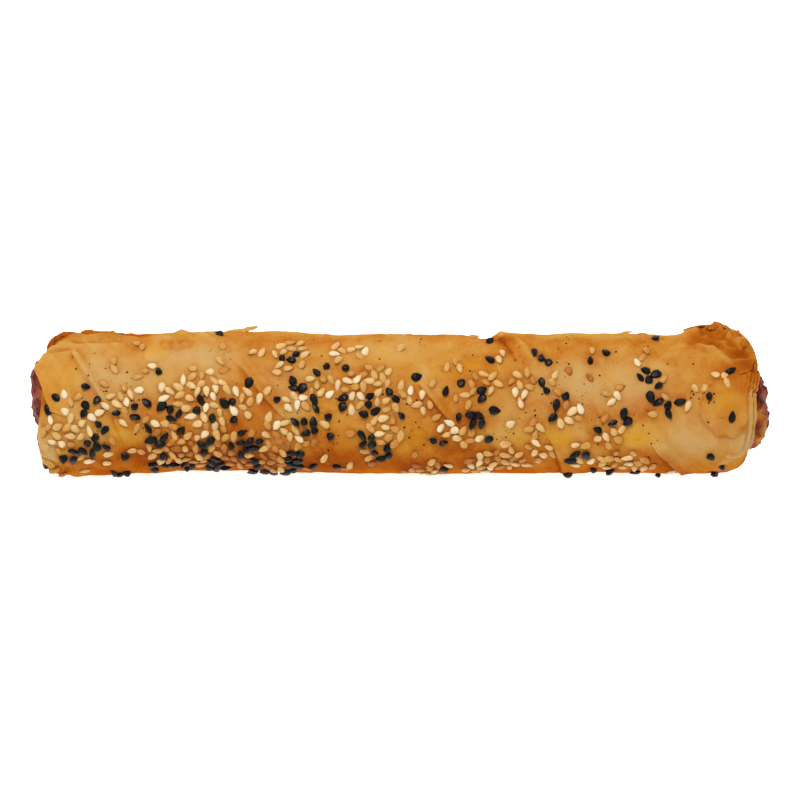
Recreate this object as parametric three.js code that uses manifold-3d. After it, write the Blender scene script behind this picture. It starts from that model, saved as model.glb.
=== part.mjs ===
// A rolled borek: thin pastry wound round a savoury filling, strewn with sesame and nigella seeds and baked.
// Millimetres, +Z up. The roll lies along X on its flattened underside, and the middle of that underside is
// the origin. "Along" is a place on the roll's length, and "turn" is an angle round it from its top, positive
// towards the front, -Y.
import * as THREE from "three";
import { mergeVertices } from "three/addons/utils/BufferGeometryUtils.js";
import Module from "manifold-3d";

// Section of the roll
const HALF_WIDTH = 18.8;
const HALF_HEIGHT = 17.3;
const UNDERSIDE_FLATTENING = 1.4; // how far the baking tray has pressed the round section flat
const AXIS_HEIGHT = HALF_HEIGHT - UNDERSIDE_FLATTENING;
const MEAN_RADIUS = (HALF_WIDTH + HALF_HEIGHT) / 2;

// Ends of the roll: the pastry rounds in over its shoulder to the rim, and the filling swells out past that.
// The rim is cut aslant, and reaches furthest at one turn.
const LEFT = { rim: -95.2, shoulder: 8, swell: 3.2, lean: 1.5, furthest: 125, outward: -1 };
const RIGHT = { rim: 93.8, shoulder: 11, swell: 4.5, lean: 1.5, furthest: -70, outward: 1 };
const SHOULDER_FULLNESS = 2.5; // 2 is a round shoulder, and more is a squarer one
const SHEET_EDGE = 0.7; // how far the ends of the sheets step out on the right shoulder
const LEAN_LENGTH = 16; // of barrel, over which the slant of a rim dies away

// Filling, a core that runs through the roll
const FILLING_RADIUS = 10;
const FILLING_GAP = 0.4;
const FILLING_DRIFT = 2.6; // the core lies this far back at the left rim and forward at the right one
const FILLING_LUMP = 0.7;
const DOME_ROOT = 2; // how far inside a rim the dome of the filling starts
const BORE_RADIUS = FILLING_RADIUS + FILLING_GAP;
const BARREL_START = LEFT.rim + LEFT.shoulder;
const BARREL_END = RIGHT.rim - RIGHT.shoulder;

// Unevenness of the pastry
const SLOW_SWELL = 0.38;
const SLOW_WAVE = 15; // length along the roll for one radian of the wave
const QUICK_SWELL = 0.22;
const QUICK_WAVE = 7.3;
const LAP_THICKNESS = 1.1; // how far the edge of a winding stands above the one it lies on
const LAP_DEPTH = 1.4; // how far a lap is sunk in the roll
const LAP_TAIL = 0.25; // how far its thin side ends below the crust
const LAP_WAVE = 0.5;
const FLAKE_THICKNESS = 0.7;
const FLAKE_ROOT = 0.6; // how far the fast end of a flake is sunk in the crust

// Seeds
const SESAME = { length: 3.3, width: 1.95, thickness: 1.35, sides: 5 };
const NIGELLA = { length: 2.9, width: 1.75, thickness: 1.7, sides: 4 };
const SEED_SINK = 0.06; // share of a seed's thickness that its middle lies above the pastry
const SEED_SPACING = 2.05;
const SEED_CLEARANCE = 3.15; // between the middles of seeds that stay apart as solids
const SEED_LIMIT = 158;
const SEED_FREE_END = 5; // no seed lies closer to a rim
const DRIFT_SPREAD = 1.25; // how far a drift reaches, in its half-lengths and half-breadths
const SPREADING_ROUNDS = 30;

// Steps of the faceted surface
const BARREL_STEPS = 40;
const SHOULDER_STEPS = 6;
const TURN_STEPS = 32;
const DOME_STEPS = 6;
const LAP_STEP = 13; // degrees
const FINEST = 0.01; // edges shorter than this are closed up

const radians = THREE.MathUtils.degToRad;

// Edges of the windings. Each runs slantwise over the roll, and the winding to its right lies on the one to
// its left. The width runs from that edge to where the winding lies flat.
const LAPS = [
  { along: -82.5, sweep: 19, width: 17, from: -40, to: 70, rise: 0.45 },
  { along: -40.6, sweep: 29, width: 17, from: -18, to: 46, rise: 0.4 },
  { along: 2.2, sweep: 33.7, width: 17, from: 4, to: 50, rise: 0.4 },
  { along: 33, sweep: 13, width: 17, from: -112, to: -4, rise: 0.8 },
  { along: 33, sweep: 13, width: 17, from: 46, to: 128, rise: 0.5 },
  { along: 50.5, sweep: 31.6, width: 7, from: 58, to: 112, rise: 0.8 },
];

// Swellings of the crust, each with its half-length along the roll and half-breadth round it.
const BLISTERS = [
  { along: -92, turn: -63, length: 2.8, breadth: 12, height: 1.0 },
  { along: -80, turn: -64, length: 9, breadth: 10, height: 0.9 },
  { along: -58, turn: -62, length: 3, breadth: 9, height: 0.6 },
  { along: -30, turn: -60, length: 8, breadth: 14, height: 0.5 },
  { along: 23, turn: -66, length: 4, breadth: 16, height: -1.2 },
  { along: 48, turn: -64, length: 20, breadth: 26, height: -0.6 },
  { along: 73, turn: -64, length: 5, breadth: 16, height: -0.7 },
  { along: 79, turn: -60, length: 4.8, breadth: 24, height: 1.5 },
  { along: 87, turn: -58, length: 5, breadth: 22, height: 1.8 },
  { along: 87, turn: 44, length: 6, breadth: 14, height: 0.6 },
  { along: -92, turn: 92, length: 6, breadth: 16, height: 0.3 },
  { along: -80, turn: 108, length: 11, breadth: 16, height: 0.6 },
  { along: 38, turn: 112, length: 10, breadth: 16, height: 0.8 },
];

// Loose flakes of the crust: each points along a heading, 0 to the right and 90 to the front, and lifts at
// its tip.
const FLAKES = [
  { along: -46.5, turn: -65, heading: -3, length: 8.5, width: 3.4, lift: 0.9 },
  { along: -65, turn: -62, heading: 4, length: 8, width: 3.2, lift: 0.5 },
  { along: 18, turn: -63, heading: -20, length: 3.4, width: 2, lift: 0.8 },
  { along: 59, turn: -66, heading: 12, length: 3, width: 2.2, lift: 0.7 },
  { along: 76, turn: -62, heading: -28, length: 6, width: 4, lift: 0.6 },
  { along: 83, turn: -60, heading: -36, length: 5, width: 5, lift: 0.8 },
];

// Where the seeds fell: each drift is an ellipse on the roll with a number of seeds of each kind.
const DRIFTS = [
  { along: -86, turn: 54, length: 9, breadth: 28, sesame: 30, nigella: 13 },
  { along: -66, turn: 26, length: 10, breadth: 16, sesame: 20, nigella: 9 },
  { along: -53, turn: 72, length: 15, breadth: 26, sesame: 54, nigella: 27 },
  { along: -51, turn: 20, length: 9, breadth: 17, sesame: 28, nigella: 8 },
  { along: -69, turn: -22, length: 14, breadth: 15, sesame: 9, nigella: 4 },
  { along: -33, turn: -22, length: 10, breadth: 12, sesame: 12, nigella: 4 },
  { along: -28, turn: 19, length: 9, breadth: 17, sesame: 17, nigella: 8 },
  { along: -27, turn: 62, length: 7, breadth: 32, sesame: 16, nigella: 13 },
  { along: -13, turn: -22, length: 6, breadth: 10, sesame: 11, nigella: 1 },
  { along: -5, turn: 20, length: 14, breadth: 18, sesame: 34, nigella: 10 },
  { along: -6, turn: 62, length: 5, breadth: 18, sesame: 8, nigella: 6 },
  { along: 18, turn: 26, length: 11, breadth: 28, sesame: 38, nigella: 15 },
  { along: 24, turn: 92, length: 19, breadth: 12, sesame: 30, nigella: 3 },
  { along: 33, turn: 12, length: 7, breadth: 26, sesame: 14, nigella: 3 },
  { along: 42, turn: -4, length: 5, breadth: 30, sesame: 9, nigella: 8 },
  { along: 50, turn: 80, length: 11, breadth: 24, sesame: 34, nigella: 11 },
  { along: 59, turn: 22, length: 9, breadth: 26, sesame: 15, nigella: 6 },
  { along: 67, turn: -4, length: 9, breadth: 30, sesame: 9, nigella: 10 },
  { along: 85, turn: 30, length: 8, breadth: 44, sesame: 11, nigella: 7 },
  { along: 0, turn: -78, length: 84, breadth: 26, sesame: 40, nigella: 22 },
];

const wasm = await Module();
wasm.setup();

// Distance from the roll's axis to its plain oval section.
function sectionRadius(turn) {
  return (HALF_WIDTH * HALF_HEIGHT) / Math.hypot(HALF_HEIGHT * Math.sin(turn), HALF_WIDTH * Math.cos(turn));
}

// The signed angle from one turn to another, the short way round.
function turnBetween(from, to) {
  return Math.atan2(Math.sin(to - from), Math.cos(to - from));
}

// Height of a round hump at a distance from its middle, both in half-widths.
function hump(distance) {
  return Math.exp(-distance * distance);
}

// Distance from the roll's axis to its crust: the oval, with slow unevenness and blisters.
function crustRadius(along, turn) {
  const slow = Math.sin(along / SLOW_WAVE + 2 * Math.sin(turn));
  const quick = Math.sin(along / QUICK_WAVE + 3 * Math.cos(turn));
  const blistered = BLISTERS.reduce((sum, blister) => {
    const aside = (along - blister.along) / blister.length;
    const round = turnBetween(radians(blister.turn), turn) / radians(blister.breadth);
    return sum + blister.height * hump(Math.hypot(aside, round));
  }, 0);
  return sectionRadius(turn) + SLOW_SWELL * slow + QUICK_SWELL * quick + blistered;
}

// Where the edge of a winding crosses the roll at a turn.
function lapEdge(lap, turn) {
  return lap.along + lap.sweep * Math.sin(turn / 2) + LAP_WAVE * Math.sin(5 * turn + lap.along);
}

// How far a winding stands up, from 0 at the two ends of its edge to its full rise between them.
function lapRise(lap, turn) {
  const share = THREE.MathUtils.clamp((turn - radians(lap.from)) / radians(lap.to - lap.from), 0, 1);
  return LAP_THICKNESS * lap.rise * Math.min(1, 4 * Math.sin(Math.PI * share) ** 2);
}

// How far a winding stands above the crust: its rise at the edge, across 0, and just below the crust at its
// tail, across 1.
function lapHeight(lap, turn, across) {
  return lapRise(lap, turn) * (1 - across) - LAP_TAIL * across;
}

// How far the windings stand above the crust at a place.
function windingHeight(along, turn) {
  const heights = LAPS.map((lap) => {
    const across = (along - lapEdge(lap, turn)) / lap.width;
    return across < 0 || across > 1 ? 0 : lapHeight(lap, turn, across);
  });
  return Math.max(0, ...heights);
}

// How far the filling lies to the back, +Y, of the roll's axis.
function fillingOffset(along) {
  return (-FILLING_DRIFT * along) / RIGHT.rim;
}

// How far the slant of a rim moves it along the roll at a turn.
function rimShift(end, turn) {
  return end.outward * end.lean * Math.cos(turn - radians(end.furthest));
}

// The same for the pastry behind the rim: all of it on the shoulder, and none further down the barrel.
function wallShift(along, turn) {
  const byLeft = THREE.MathUtils.clamp((BARREL_START + LEAN_LENGTH - along) / LEAN_LENGTH, 0, 1);
  const byRight = THREE.MathUtils.clamp((along - BARREL_END + LEAN_LENGTH) / LEAN_LENGTH, 0, 1);
  return rimShift(LEFT, turn) * byLeft + rimShift(RIGHT, turn) * byRight;
}

// How much of the wall stands over the bore on a shoulder, from 1 where it starts to 0 at the rim.
function shoulderShare(reach) {
  return (1 - THREE.MathUtils.clamp(reach, 0, 1) ** SHOULDER_FULLNESS) ** (1 / SHOULDER_FULLNESS);
}

// The same at any place of the roll: 1 on the barrel and less on both shoulders.
function wallShare(along, turn) {
  const intoLeft = (BARREL_START + rimShift(LEFT, turn) - along) / LEFT.shoulder;
  const intoRight = (along - BARREL_END - rimShift(RIGHT, turn)) / RIGHT.shoulder;
  return shoulderShare(Math.max(intoLeft, intoRight));
}

// A point of the pastry, by the share of the wall that lies under it and its height above that, never lower
// than the tray.
function pastryPoint(along, turn, share, height) {
  const radius = BORE_RADIUS + (crustRadius(along, turn) - BORE_RADIUS) * share + height;
  const aside = fillingOffset(along) * (1 - share) - radius * Math.sin(turn);
  return new THREE.Vector3(along, aside, Math.max(0, AXIS_HEIGHT + radius * Math.cos(turn)));
}

// A point at a height above the bare crust.
function onCrust(along, turn, height) {
  return pastryPoint(along, turn, wallShare(along, turn), height);
}

// A point at a height above the outermost pastry.
function onPastry(along, turn, height) {
  return onCrust(along, turn, height + windingHeight(along, turn));
}

// Moves every corner of a geometry to where place puts it.
function bend(geometry, place) {
  const corners = geometry.getAttribute("position");
  const corner = new THREE.Vector3();
  for (let i = 0; i < corners.count; i++) {
    corner.copy(place(corner.fromBufferAttribute(corners, i)));
    corners.setXYZ(i, corner.x, corner.y, corner.z);
  }
  return geometry;
}

// A closed geometry as a solid. Triangles that shrink to a line at a pole are left out.
function solidOf(geometry) {
  const bare = geometry.clone();
  bare.deleteAttribute("normal");
  bare.deleteAttribute("uv");
  const merged = mergeVertices(bare, 1e-3);
  const triVerts = [];
  for (let i = 0; i < merged.index.count; i += 3) {
    const triangle = [0, 1, 2].map((k) => merged.index.getX(i + k));
    if (new Set(triangle).size === 3) triVerts.push(...triangle);
  }
  const vertProperties = merged.getAttribute("position").array;
  const triangles = { numProp: 3, vertProperties, triVerts: new Uint32Array(triVerts), tolerance: FINEST };
  return new wasm.Manifold(new wasm.Mesh(triangles));
}

// A solid as a geometry with flat faces.
function geometryOf(solid) {
  const mesh = solid.getMesh();
  const geometry = new THREE.BufferGeometry();
  geometry.setAttribute("position", new THREE.BufferAttribute(mesh.vertProperties, 3));
  geometry.setIndex(new THREE.BufferAttribute(mesh.triVerts, 1));
  return geometry;
}

// The outline of half the pastry's wall: x is 1 in the bore and 2 at the crust, and y is the place along the
// roll.
function wallOutline() {
  const outline = [];
  const reach = (k) => Math.sin((k / SHOULDER_STEPS) * (Math.PI / 2));
  for (let k = SHOULDER_STEPS; k > 0; k--) {
    outline.push(new THREE.Vector2(1 + shoulderShare(reach(k)), BARREL_START - LEFT.shoulder * reach(k)));
  }
  for (let k = 0; k <= BARREL_STEPS; k++) {
    outline.push(new THREE.Vector2(2, THREE.MathUtils.lerp(BARREL_START, BARREL_END, k / BARREL_STEPS)));
  }
  for (let k = 1; k <= SHOULDER_STEPS; k++) {
    const step = k < SHOULDER_STEPS && k % 2 === 0 ? SHEET_EDGE : 0;
    const along = BARREL_END + RIGHT.shoulder * reach(k) + step;
    outline.push(new THREE.Vector2(1 + shoulderShare(reach(k)), along));
  }
  return [...outline, outline[0].clone()];
}

// The pastry's wall: a tube round the filling, turned from its outline and bent to the crust.
function pastryWall() {
  return bend(new THREE.LatheGeometry(wallOutline(), TURN_STEPS), (corner) => {
    const turn = Math.atan2(corner.x, corner.z);
    const share = Math.hypot(corner.x, corner.z) - 1;
    return pastryPoint(corner.y + wallShift(corner.y, turn), turn, share, 0);
  });
}

// The edge of a winding: a wedge that is thick at the edge, thins out along the roll and is sunk in it.
function lapWedge(lap) {
  const stepsRound = Math.ceil((lap.to - lap.from) / LAP_STEP);
  return bend(new THREE.BoxGeometry(1, 1, 1, 2, stepsRound, 1), (corner) => {
    const across = corner.x + 0.5;
    const turn = radians(lap.from + (lap.to - lap.from) * (0.5 - corner.y));
    const along = lapEdge(lap, turn) + lap.width * across;
    const height = corner.z > 0 ? lapHeight(lap, turn, across) : -LAP_DEPTH;
    return onCrust(along, turn, height);
  });
}

// A flake: a thin strip, fast in the crust at one end and narrow and lifted at the other.
function flakeStrip(flake) {
  const heading = radians(flake.heading);
  return bend(new THREE.BoxGeometry(1, 1, 1, 3, 1, 1), (corner) => {
    const reach = corner.x + 0.5;
    const forward = flake.length * reach;
    const aside = flake.width * (1 - 0.7 * reach) * -corner.y;
    const along = flake.along + forward * Math.cos(heading) - aside * Math.sin(heading);
    const round = forward * Math.sin(heading) + aside * Math.cos(heading);
    const turn = radians(flake.turn) + round / MEAN_RADIUS;
    const height = flake.lift * reach - FLAKE_ROOT * (1 - reach) + FLAKE_THICKNESS * corner.z;
    return onPastry(along, turn, height);
  });
}

// A number from 0 to 1 that looks random and is always the same for the same index and use.
function chance(index, use) {
  const wave = Math.sin(index * 12.9898 + use * 78.233) * 43758.5453;
  return wave - Math.floor(wave);
}

// All seeds as they fell: drawn inside their drifts, then pushed apart until they lie side by side.
function fallenSeeds() {
  const seeds = DRIFTS.flatMap((drift) => [
    ...Array.from({ length: drift.sesame }, () => ({ drift, kind: SESAME })),
    ...Array.from({ length: drift.nigella }, () => ({ drift, kind: NIGELLA })),
  ]);
  seeds.forEach((seed, index) => {
    const reach = Math.sqrt(chance(index, 1));
    const direction = 2 * Math.PI * chance(index, 2);
    const { drift } = seed;
    seed.along = drift.along + DRIFT_SPREAD * drift.length * reach * Math.cos(direction);
    const turn = radians(drift.turn + DRIFT_SPREAD * drift.breadth * reach * Math.sin(direction));
    seed.round = MEAN_RADIUS * turn;
    seed.yaw = 2 * Math.PI * chance(index, 3);
  });
  for (let round = 0; round < SPREADING_ROUNDS; round++) {
    const pushes = seeds.map((seed) => pushOn(seed, seeds));
    seeds.forEach((seed, index) => {
      seed.along += pushes[index].along;
      seed.round += pushes[index].round;
    });
  }
  return seeds;
}

// Half the way that a seed must move to clear the seeds that crowd it.
function pushOn(seed, seeds) {
  const push = { along: 0, round: 0 };
  for (const other of seeds) {
    const along = seed.along - other.along;
    const round = seed.round - other.round;
    const apart = Math.hypot(along, round);
    if (other === seed || apart >= SEED_SPACING) continue;
    const share = (0.5 * (SEED_SPACING - apart)) / Math.max(apart, 1e-6);
    push.along += along * share;
    push.round += round * share;
  }
  return push;
}

// A seed lying flat: blunt at one end, pointed at the other, with few sides.
function plainSeed(kind) {
  const outline = [
    new THREE.Vector2(0, -0.5),
    new THREE.Vector2(0.4, -0.27),
    new THREE.Vector2(0.46, 0.08),
    new THREE.Vector2(0, 0.5),
  ];
  return new THREE.LatheGeometry(outline, kind.sides).scale(kind.width, kind.length, kind.thickness);
}

// A seed where it fell, flat on the pastry and a little sunk in it.
function restingSeed({ kind, along, round, yaw }) {
  const turn = round / MEAN_RADIUS;
  const near = kind.width / 4;
  const lengthways = onPastry(along + near, turn, 0).sub(onPastry(along - near, turn, 0)).normalize();
  const nearTurn = near / MEAN_RADIUS;
  const roundways = onPastry(along, turn + nearTurn, 0).sub(onPastry(along, turn - nearTurn, 0));
  const outward = roundways.cross(lengthways).normalize();
  const pointing = lengthways.clone().applyAxisAngle(outward, yaw);
  const sideways = pointing.clone().cross(outward);
  const middle = onPastry(along, turn, 0).addScaledVector(outward, SEED_SINK * kind.thickness);
  const pose = new THREE.Matrix4().makeBasis(sideways, pointing, outward).setPosition(middle);
  return plainSeed(kind).applyMatrix4(pose);
}

// The seeds that stay clear of one another and of the ends, up to the number that the solid holds.
function chosenSeeds() {
  const chosen = [];
  for (const seed of fallenSeeds()) {
    const onBarrel = seed.along > LEFT.rim + SEED_FREE_END && seed.along < RIGHT.rim - SEED_FREE_END;
    const gaps = chosen.map((other) => Math.hypot(other.along - seed.along, other.round - seed.round));
    if (onBarrel && Math.min(...gaps) > SEED_CLEARANCE) chosen.push(seed);
  }
  const every = chosen.length / Math.min(SEED_LIMIT, chosen.length);
  return chosen.filter((seed, index) => Math.floor((index + 1) / every) > Math.floor(index / every));
}

// The filling: a core with a lumpy dome at each end that swells out past the rim.
function fillingCore() {
  return bend(new THREE.CapsuleGeometry(1, 1, DOME_STEPS, TURN_STEPS, 1), (corner) => {
    const end = corner.y < 0 ? LEFT : RIGHT;
    const beyond = Math.max(0, Math.abs(corner.y) - 0.5);
    const turn = Math.atan2(corner.x, corner.z);
    const lump = FILLING_LUMP * beyond * Math.hypot(corner.x, corner.z) * Math.sin(3 * turn + end.swell);
    const along = end.rim + end.outward * ((end.swell + DOME_ROOT) * beyond - DOME_ROOT + lump);
    const aside = fillingOffset(along) - FILLING_RADIUS * corner.x;
    return new THREE.Vector3(along, aside, AXIS_HEIGHT + FILLING_RADIUS * corner.z);
  });
}

function part(name, geometry, colour, roughness) {
  geometry.computeVertexNormals();
  const finish = new THREE.MeshStandardMaterial({ color: colour, roughness, metalness: 0 });
  const mesh = new THREE.Mesh(geometry, finish);
  mesh.name = name;
  return mesh;
}

const raised = [...LAPS.map(lapWedge), ...FLAKES.map(flakeStrip), ...chosenSeeds().map(restingSeed)];
const pastry = raised.map(solidOf).reduce((whole, piece) => whole.add(piece), solidOf(pastryWall()));

const borek = new THREE.Group();
borek.add(part("pastry_roll", geometryOf(pastry), 0xd39a45, 0.5));
borek.add(part("filling", fillingCore(), 0x5c2a22, 0.7));

export default borek;
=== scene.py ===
"""A rolled borek: pastry wound round a filling, with laps, loose sheets, a crumpled end and many seeds.

Sizes are millimetres until a mesh is made. "Along" is a place on the roll's length, +X, and "turn" is an
angle round it from its top, positive towards the front, -Y. Tables give turns in degrees.
"""
import itertools
import math
from collections import namedtuple

import bpy
import numpy as np
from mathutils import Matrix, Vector


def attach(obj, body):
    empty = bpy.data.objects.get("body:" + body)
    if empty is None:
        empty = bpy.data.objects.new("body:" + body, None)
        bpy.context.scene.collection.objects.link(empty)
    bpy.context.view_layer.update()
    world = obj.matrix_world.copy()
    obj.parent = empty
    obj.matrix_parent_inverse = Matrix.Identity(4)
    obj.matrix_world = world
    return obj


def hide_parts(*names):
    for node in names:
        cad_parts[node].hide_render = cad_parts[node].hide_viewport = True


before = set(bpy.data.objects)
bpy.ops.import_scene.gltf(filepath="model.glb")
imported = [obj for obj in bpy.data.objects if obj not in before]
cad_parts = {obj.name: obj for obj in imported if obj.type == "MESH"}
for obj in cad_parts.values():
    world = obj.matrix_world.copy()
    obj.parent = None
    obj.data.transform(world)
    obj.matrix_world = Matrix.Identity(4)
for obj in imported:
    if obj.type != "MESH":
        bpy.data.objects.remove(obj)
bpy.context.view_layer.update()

MM = 0.001

# Section of the roll
HALF_WIDTH = 18.8
HALF_HEIGHT = 17.3
UNDERSIDE_FLATTENING = 1.4
AXIS_HEIGHT = HALF_HEIGHT - UNDERSIDE_FLATTENING
MEAN_RADIUS = (HALF_WIDTH + HALF_HEIGHT) / 2
SLOW_SWELL, SLOW_WAVE = 0.38, 15
QUICK_SWELL, QUICK_WAVE = 0.22, 7.3

# Ends of the roll, with the number of pastry layers that show there and how far they stand out
LEFT = dict(rim=-95.2, shoulder=8, swell=3.2, lean=1.5, furthest=125, outward=-1, layers=3, proud=0.3)
RIGHT = dict(rim=93.8, shoulder=11, swell=4.5, lean=1.5, furthest=-70, outward=1, layers=4, proud=0.36)
SHOULDER_FULLNESS = 2.5
LEAN_LENGTH = 16
BARREL_START = LEFT["rim"] + LEFT["shoulder"]
BARREL_END = RIGHT["rim"] - RIGHT["shoulder"]
INNERMOST_LAYER, OUTERMOST_LAYER = 0.16, 0.62
SPIRAL_START, SPIRAL_RADIUS, LAYER_ROOT = 0.8, 6, 1.5

# Filling
FILLING_RADIUS = 10
FILLING_GAP = 0.4
BORE_RADIUS = FILLING_RADIUS + FILLING_GAP
FILLING_DRIFT = 2.6
FILLING_LUMP = 0.7
DOME_ROOT = 2
DOME_FULLNESS = 2.6
FURROW_DEPTH, FURROW_PITCH = 0.25, 1.5
LUMPS_SUNK = 0.35

# Windings and sheets
LAP_THICKNESS = 1.1
LAP_TAIL = 0.25
LAP_WAVE, LAP_WAVES = 0.5, 5
LAP_RAMP = (-0.3, 1.0)
BEAD_MIDDLE, BEAD_HALF_WIDTH, BEAD_SHARE = 0.6, 0.8, 0.8
RIPPLE_HEIGHT, RIPPLE_PITCH, RIPPLE_REACH = 0.12, 2.1, 7
WRINKLE_HEIGHT, WRINKLE_SLANT, WRINKLE_STRETCH = 0.2, 0.6, 0.2
CREASE_LEVEL = 0.432
SHEET_THICKNESS = 0.3
SHEET_SINKING = 0.25

# How dark the pastry looks, by baking and by painted shade and light: 0 for straw, 0.4 for gold, 1 for
# brown
GOLD = 0.4
# The front is darker low down by browning and painted shade; the back and underside darken by browning
FRONT_BROWNING_AND_SHADE, BACK_BROWNING, UNDERSIDE_BROWNING = 0.3, 0.12, 0.4
# Painted shadows beside laps and lobes, and a painted highlight along the lap beads
LAP_SHADOW, BEAD_HIGHLIGHT, LOBE_SHADOW = 0.2, 0.2, 0.4
# Painted shade in the hollows of the relief and painted light on its ridges
RELIEF_SHADING, HOLLOW_DEPTH = 0.2, 0.5
# Browner where glaze pools round the seeds: glaze, and painted shade among the seeds
GLAZE_AND_SEED_SHADE, GLAZE_COVER, GLAZE_REACH = 0.15, 0.6, 1.55

# Seeds and burnt specks
SESAME = dict(slot="sesame", length=3.15, width=1.88, thickness=1.0, rings=7, sides=8, point=0.66,
              corners=0.0, spread=0.3, toasted_sinking=0.16, smooth=True)
NIGELLA = dict(slot="nigella", length=2.9, width=2.0, thickness=1.55, rings=6, sides=6, point=0.6,
               corners=0.14, spread=0.5, toasted_sinking=0, smooth=False)
SPECK = dict(slot="nigella", length=0.7, width=0.5, thickness=0.28, rings=4, sides=5, point=0.2,
             corners=0.2, smooth=True)
SEED_RISE = 0.24
SEED_LEAN = 0.6
SEED_SPACING = 2.4
SPREADING_ROUNDS = 30
FIRST_SEED, LAST_SEED = LEFT["rim"] + 1, RIGHT["rim"] - 2.5
SEED_BATCHES = 24
SPECKS, SPECKS_TOGETHER = 480, 6
SPECK_FIELD = dict(length=172, first_turn=-48, turns=112, group_length=5, group_turns=17)

# How finely the pieces are divided
SHOULDER_STATIONS, BARREL_STATIONS, BORE_STATIONS = 30, 360, 12
CRUST_TURNS, TOP_CROWDING = 224, 0.35
LIP_ROWS, SHEET_ROWS, SHEET_SIDES = 220, 160, 28
FLAKE_ROWS, FLAKE_SIDES = 16, 14
LAYER_ROWS, LAYER_SIDES = 640, 16
SCALE_ROWS, SCALE_SIDES = 14, 18
DOME_RINGS, CORE_RINGS, FILLING_SIDES = 55, 8, 144

# Studio, in metres, and the camera
FLOOR_REACH, FLOOR_GLOW = 6.0, 0.67
ROOM_GLOW = 0.72
LIGHTS = {
    "key_softbox": dict(place=(-0.2, 0.3, 1.15), size=0.4, power=13),
    "front_softbox": dict(place=(-0.1, -1.0, 0.5), size=0.8, power=2.2),
}
LIGHT_AIM = (0, 0, 0.015)
CAMERA_ELEVATION, CAMERA_DISTANCE = math.radians(65), 1.5
CAMERA_AIM_HEIGHT = 17.7
ROLL_LENGTH = 196.7
ROLL_PIXELS, PICTURE_PIXELS = 737, 800

# Noises: height, size of a cell, and a number that tells each from the others
NOISES = {
    "dimples": (0.28, 6.5, 1),
    "small_dimples": (0.13, 2.7, 2),
    "creases": (0.8, 5.2, 3),
    "small_creases": (0.64, 2.6, 4),
    "ripple_wander": (2.2, 9, 5),
    "grit": (0.2, 1.3, 6),
    "rags": (1, 3.4, 7),
    "small_rags": (0.5, 1.3, 8),
    "lap_wander": (0.7, 6, 9),
    "layer_drift": (0.02, 6, 10),
    "layer_rise": (0.7, 8, 11),
    "small_layer_rise": (0.5, 2.6, 12),
    "layer_flare": (0.3, 9, 13),
    "layer_baking": (0.14, 7, 14),
    "fold_bends": (0.9, 4.5, 15),
    "wrinkles": (0.4, 2.4, 16),
    "wrinkled_patches": (1, 11, 17),
    "bead_lumps": (0.35, 4, 18),
    "filling_lumps": (0.85, 4.4, 21),
    "filling_crumbs": (0.65, 1.9, 22),
    "filling_char": (0.25, 5, 23),
    "furrow_bends": (2.4, 6, 24),
    "filling_grains": (0.3, 0.9, 25),
    "bare_patches": (1, 3.8, 26),
    "scale_lumps": (0.28, 1.5, 31),
    "scale_grains": (0.2, 0.7, 32),
    "lobe_bends": (0.16, 2.2, 33),
    "mouth_bends": (0.5, 5, 34),
}

# Edges of the windings. The last one is the front flap.
Lap = namedtuple("Lap", "along sweep width start end rise bead")
LAPS = [
    Lap(-82.5, 19, 17, -40, 70, 0.45, 0.32),
    Lap(-40.6, 29, 17, -18, 46, 0.4, 0.14),
    Lap(2.2, 33.7, 17, 4, 50, 0.4, 0.14),
    Lap(33, 13, 17, -112, -4, 0.8, 0.3),
    Lap(33, 13, 17, 46, 128, 0.5, 0.12),
    Lap(50.5, 31.6, 7, 58, 112, 0.8, 0),
]
FLAP_LIP = dict(length=7.0, ragged=0.5, overhang=0.2, sinking=0.3, dip=0.9, depth=0.5)

# Swellings of the crust: along, turn, half-length, half-breadth, height
BLISTERS = np.array([
    (-92, -63, 2.8, 12, 1.0),
    (-80, -64, 9, 10, 0.9),
    (-58, -62, 3, 9, 0.6),
    (-30, -60, 8, 14, 0.5),
    (23, -66, 4, 16, -1.2),
    (48, -64, 20, 26, -0.6),
    (73, -64, 5, 16, -0.7),
    (79, -60, 4.8, 24, 1.5),
    (87, -58, 5, 22, 1.8),
    (87, 44, 6, 14, 0.6),
    (-92, 92, 6, 16, 0.3),
    (-80, 108, 11, 16, 0.6),
    (38, 112, 10, 16, 0.8),
])

# Small crags of the crust: along, turn, half-length, half-breadth, height
CRAGS = np.array([
    (-93.5, 67, 2.8, 9, 1.0),
    (-94.6, 84, 1.6, 6, 0.9),
    (-91.5, 96, 2.0, 6, 0.7),
    (-86.5, 104, 2.6, 5, 0.5),
    (-58.3, -61, 1.2, 6, 0.7),
    (27, -62, 1.6, 10, 0.8),
    (60, -62, 1.0, 6, 0.5),
    (64.8, -62, 1.6, 6, 0.4),
    (77.5, -62, 2.4, 12, 0.2),
    (83.8, -63, 1.0, 9, 0.6),
    (88.6, -61, 1.9, 10, 0.2),
    (92, -46, 1.3, 7, 0.6),
    (93.8, -22, 1.2, 7, 0.7),
])

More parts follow.
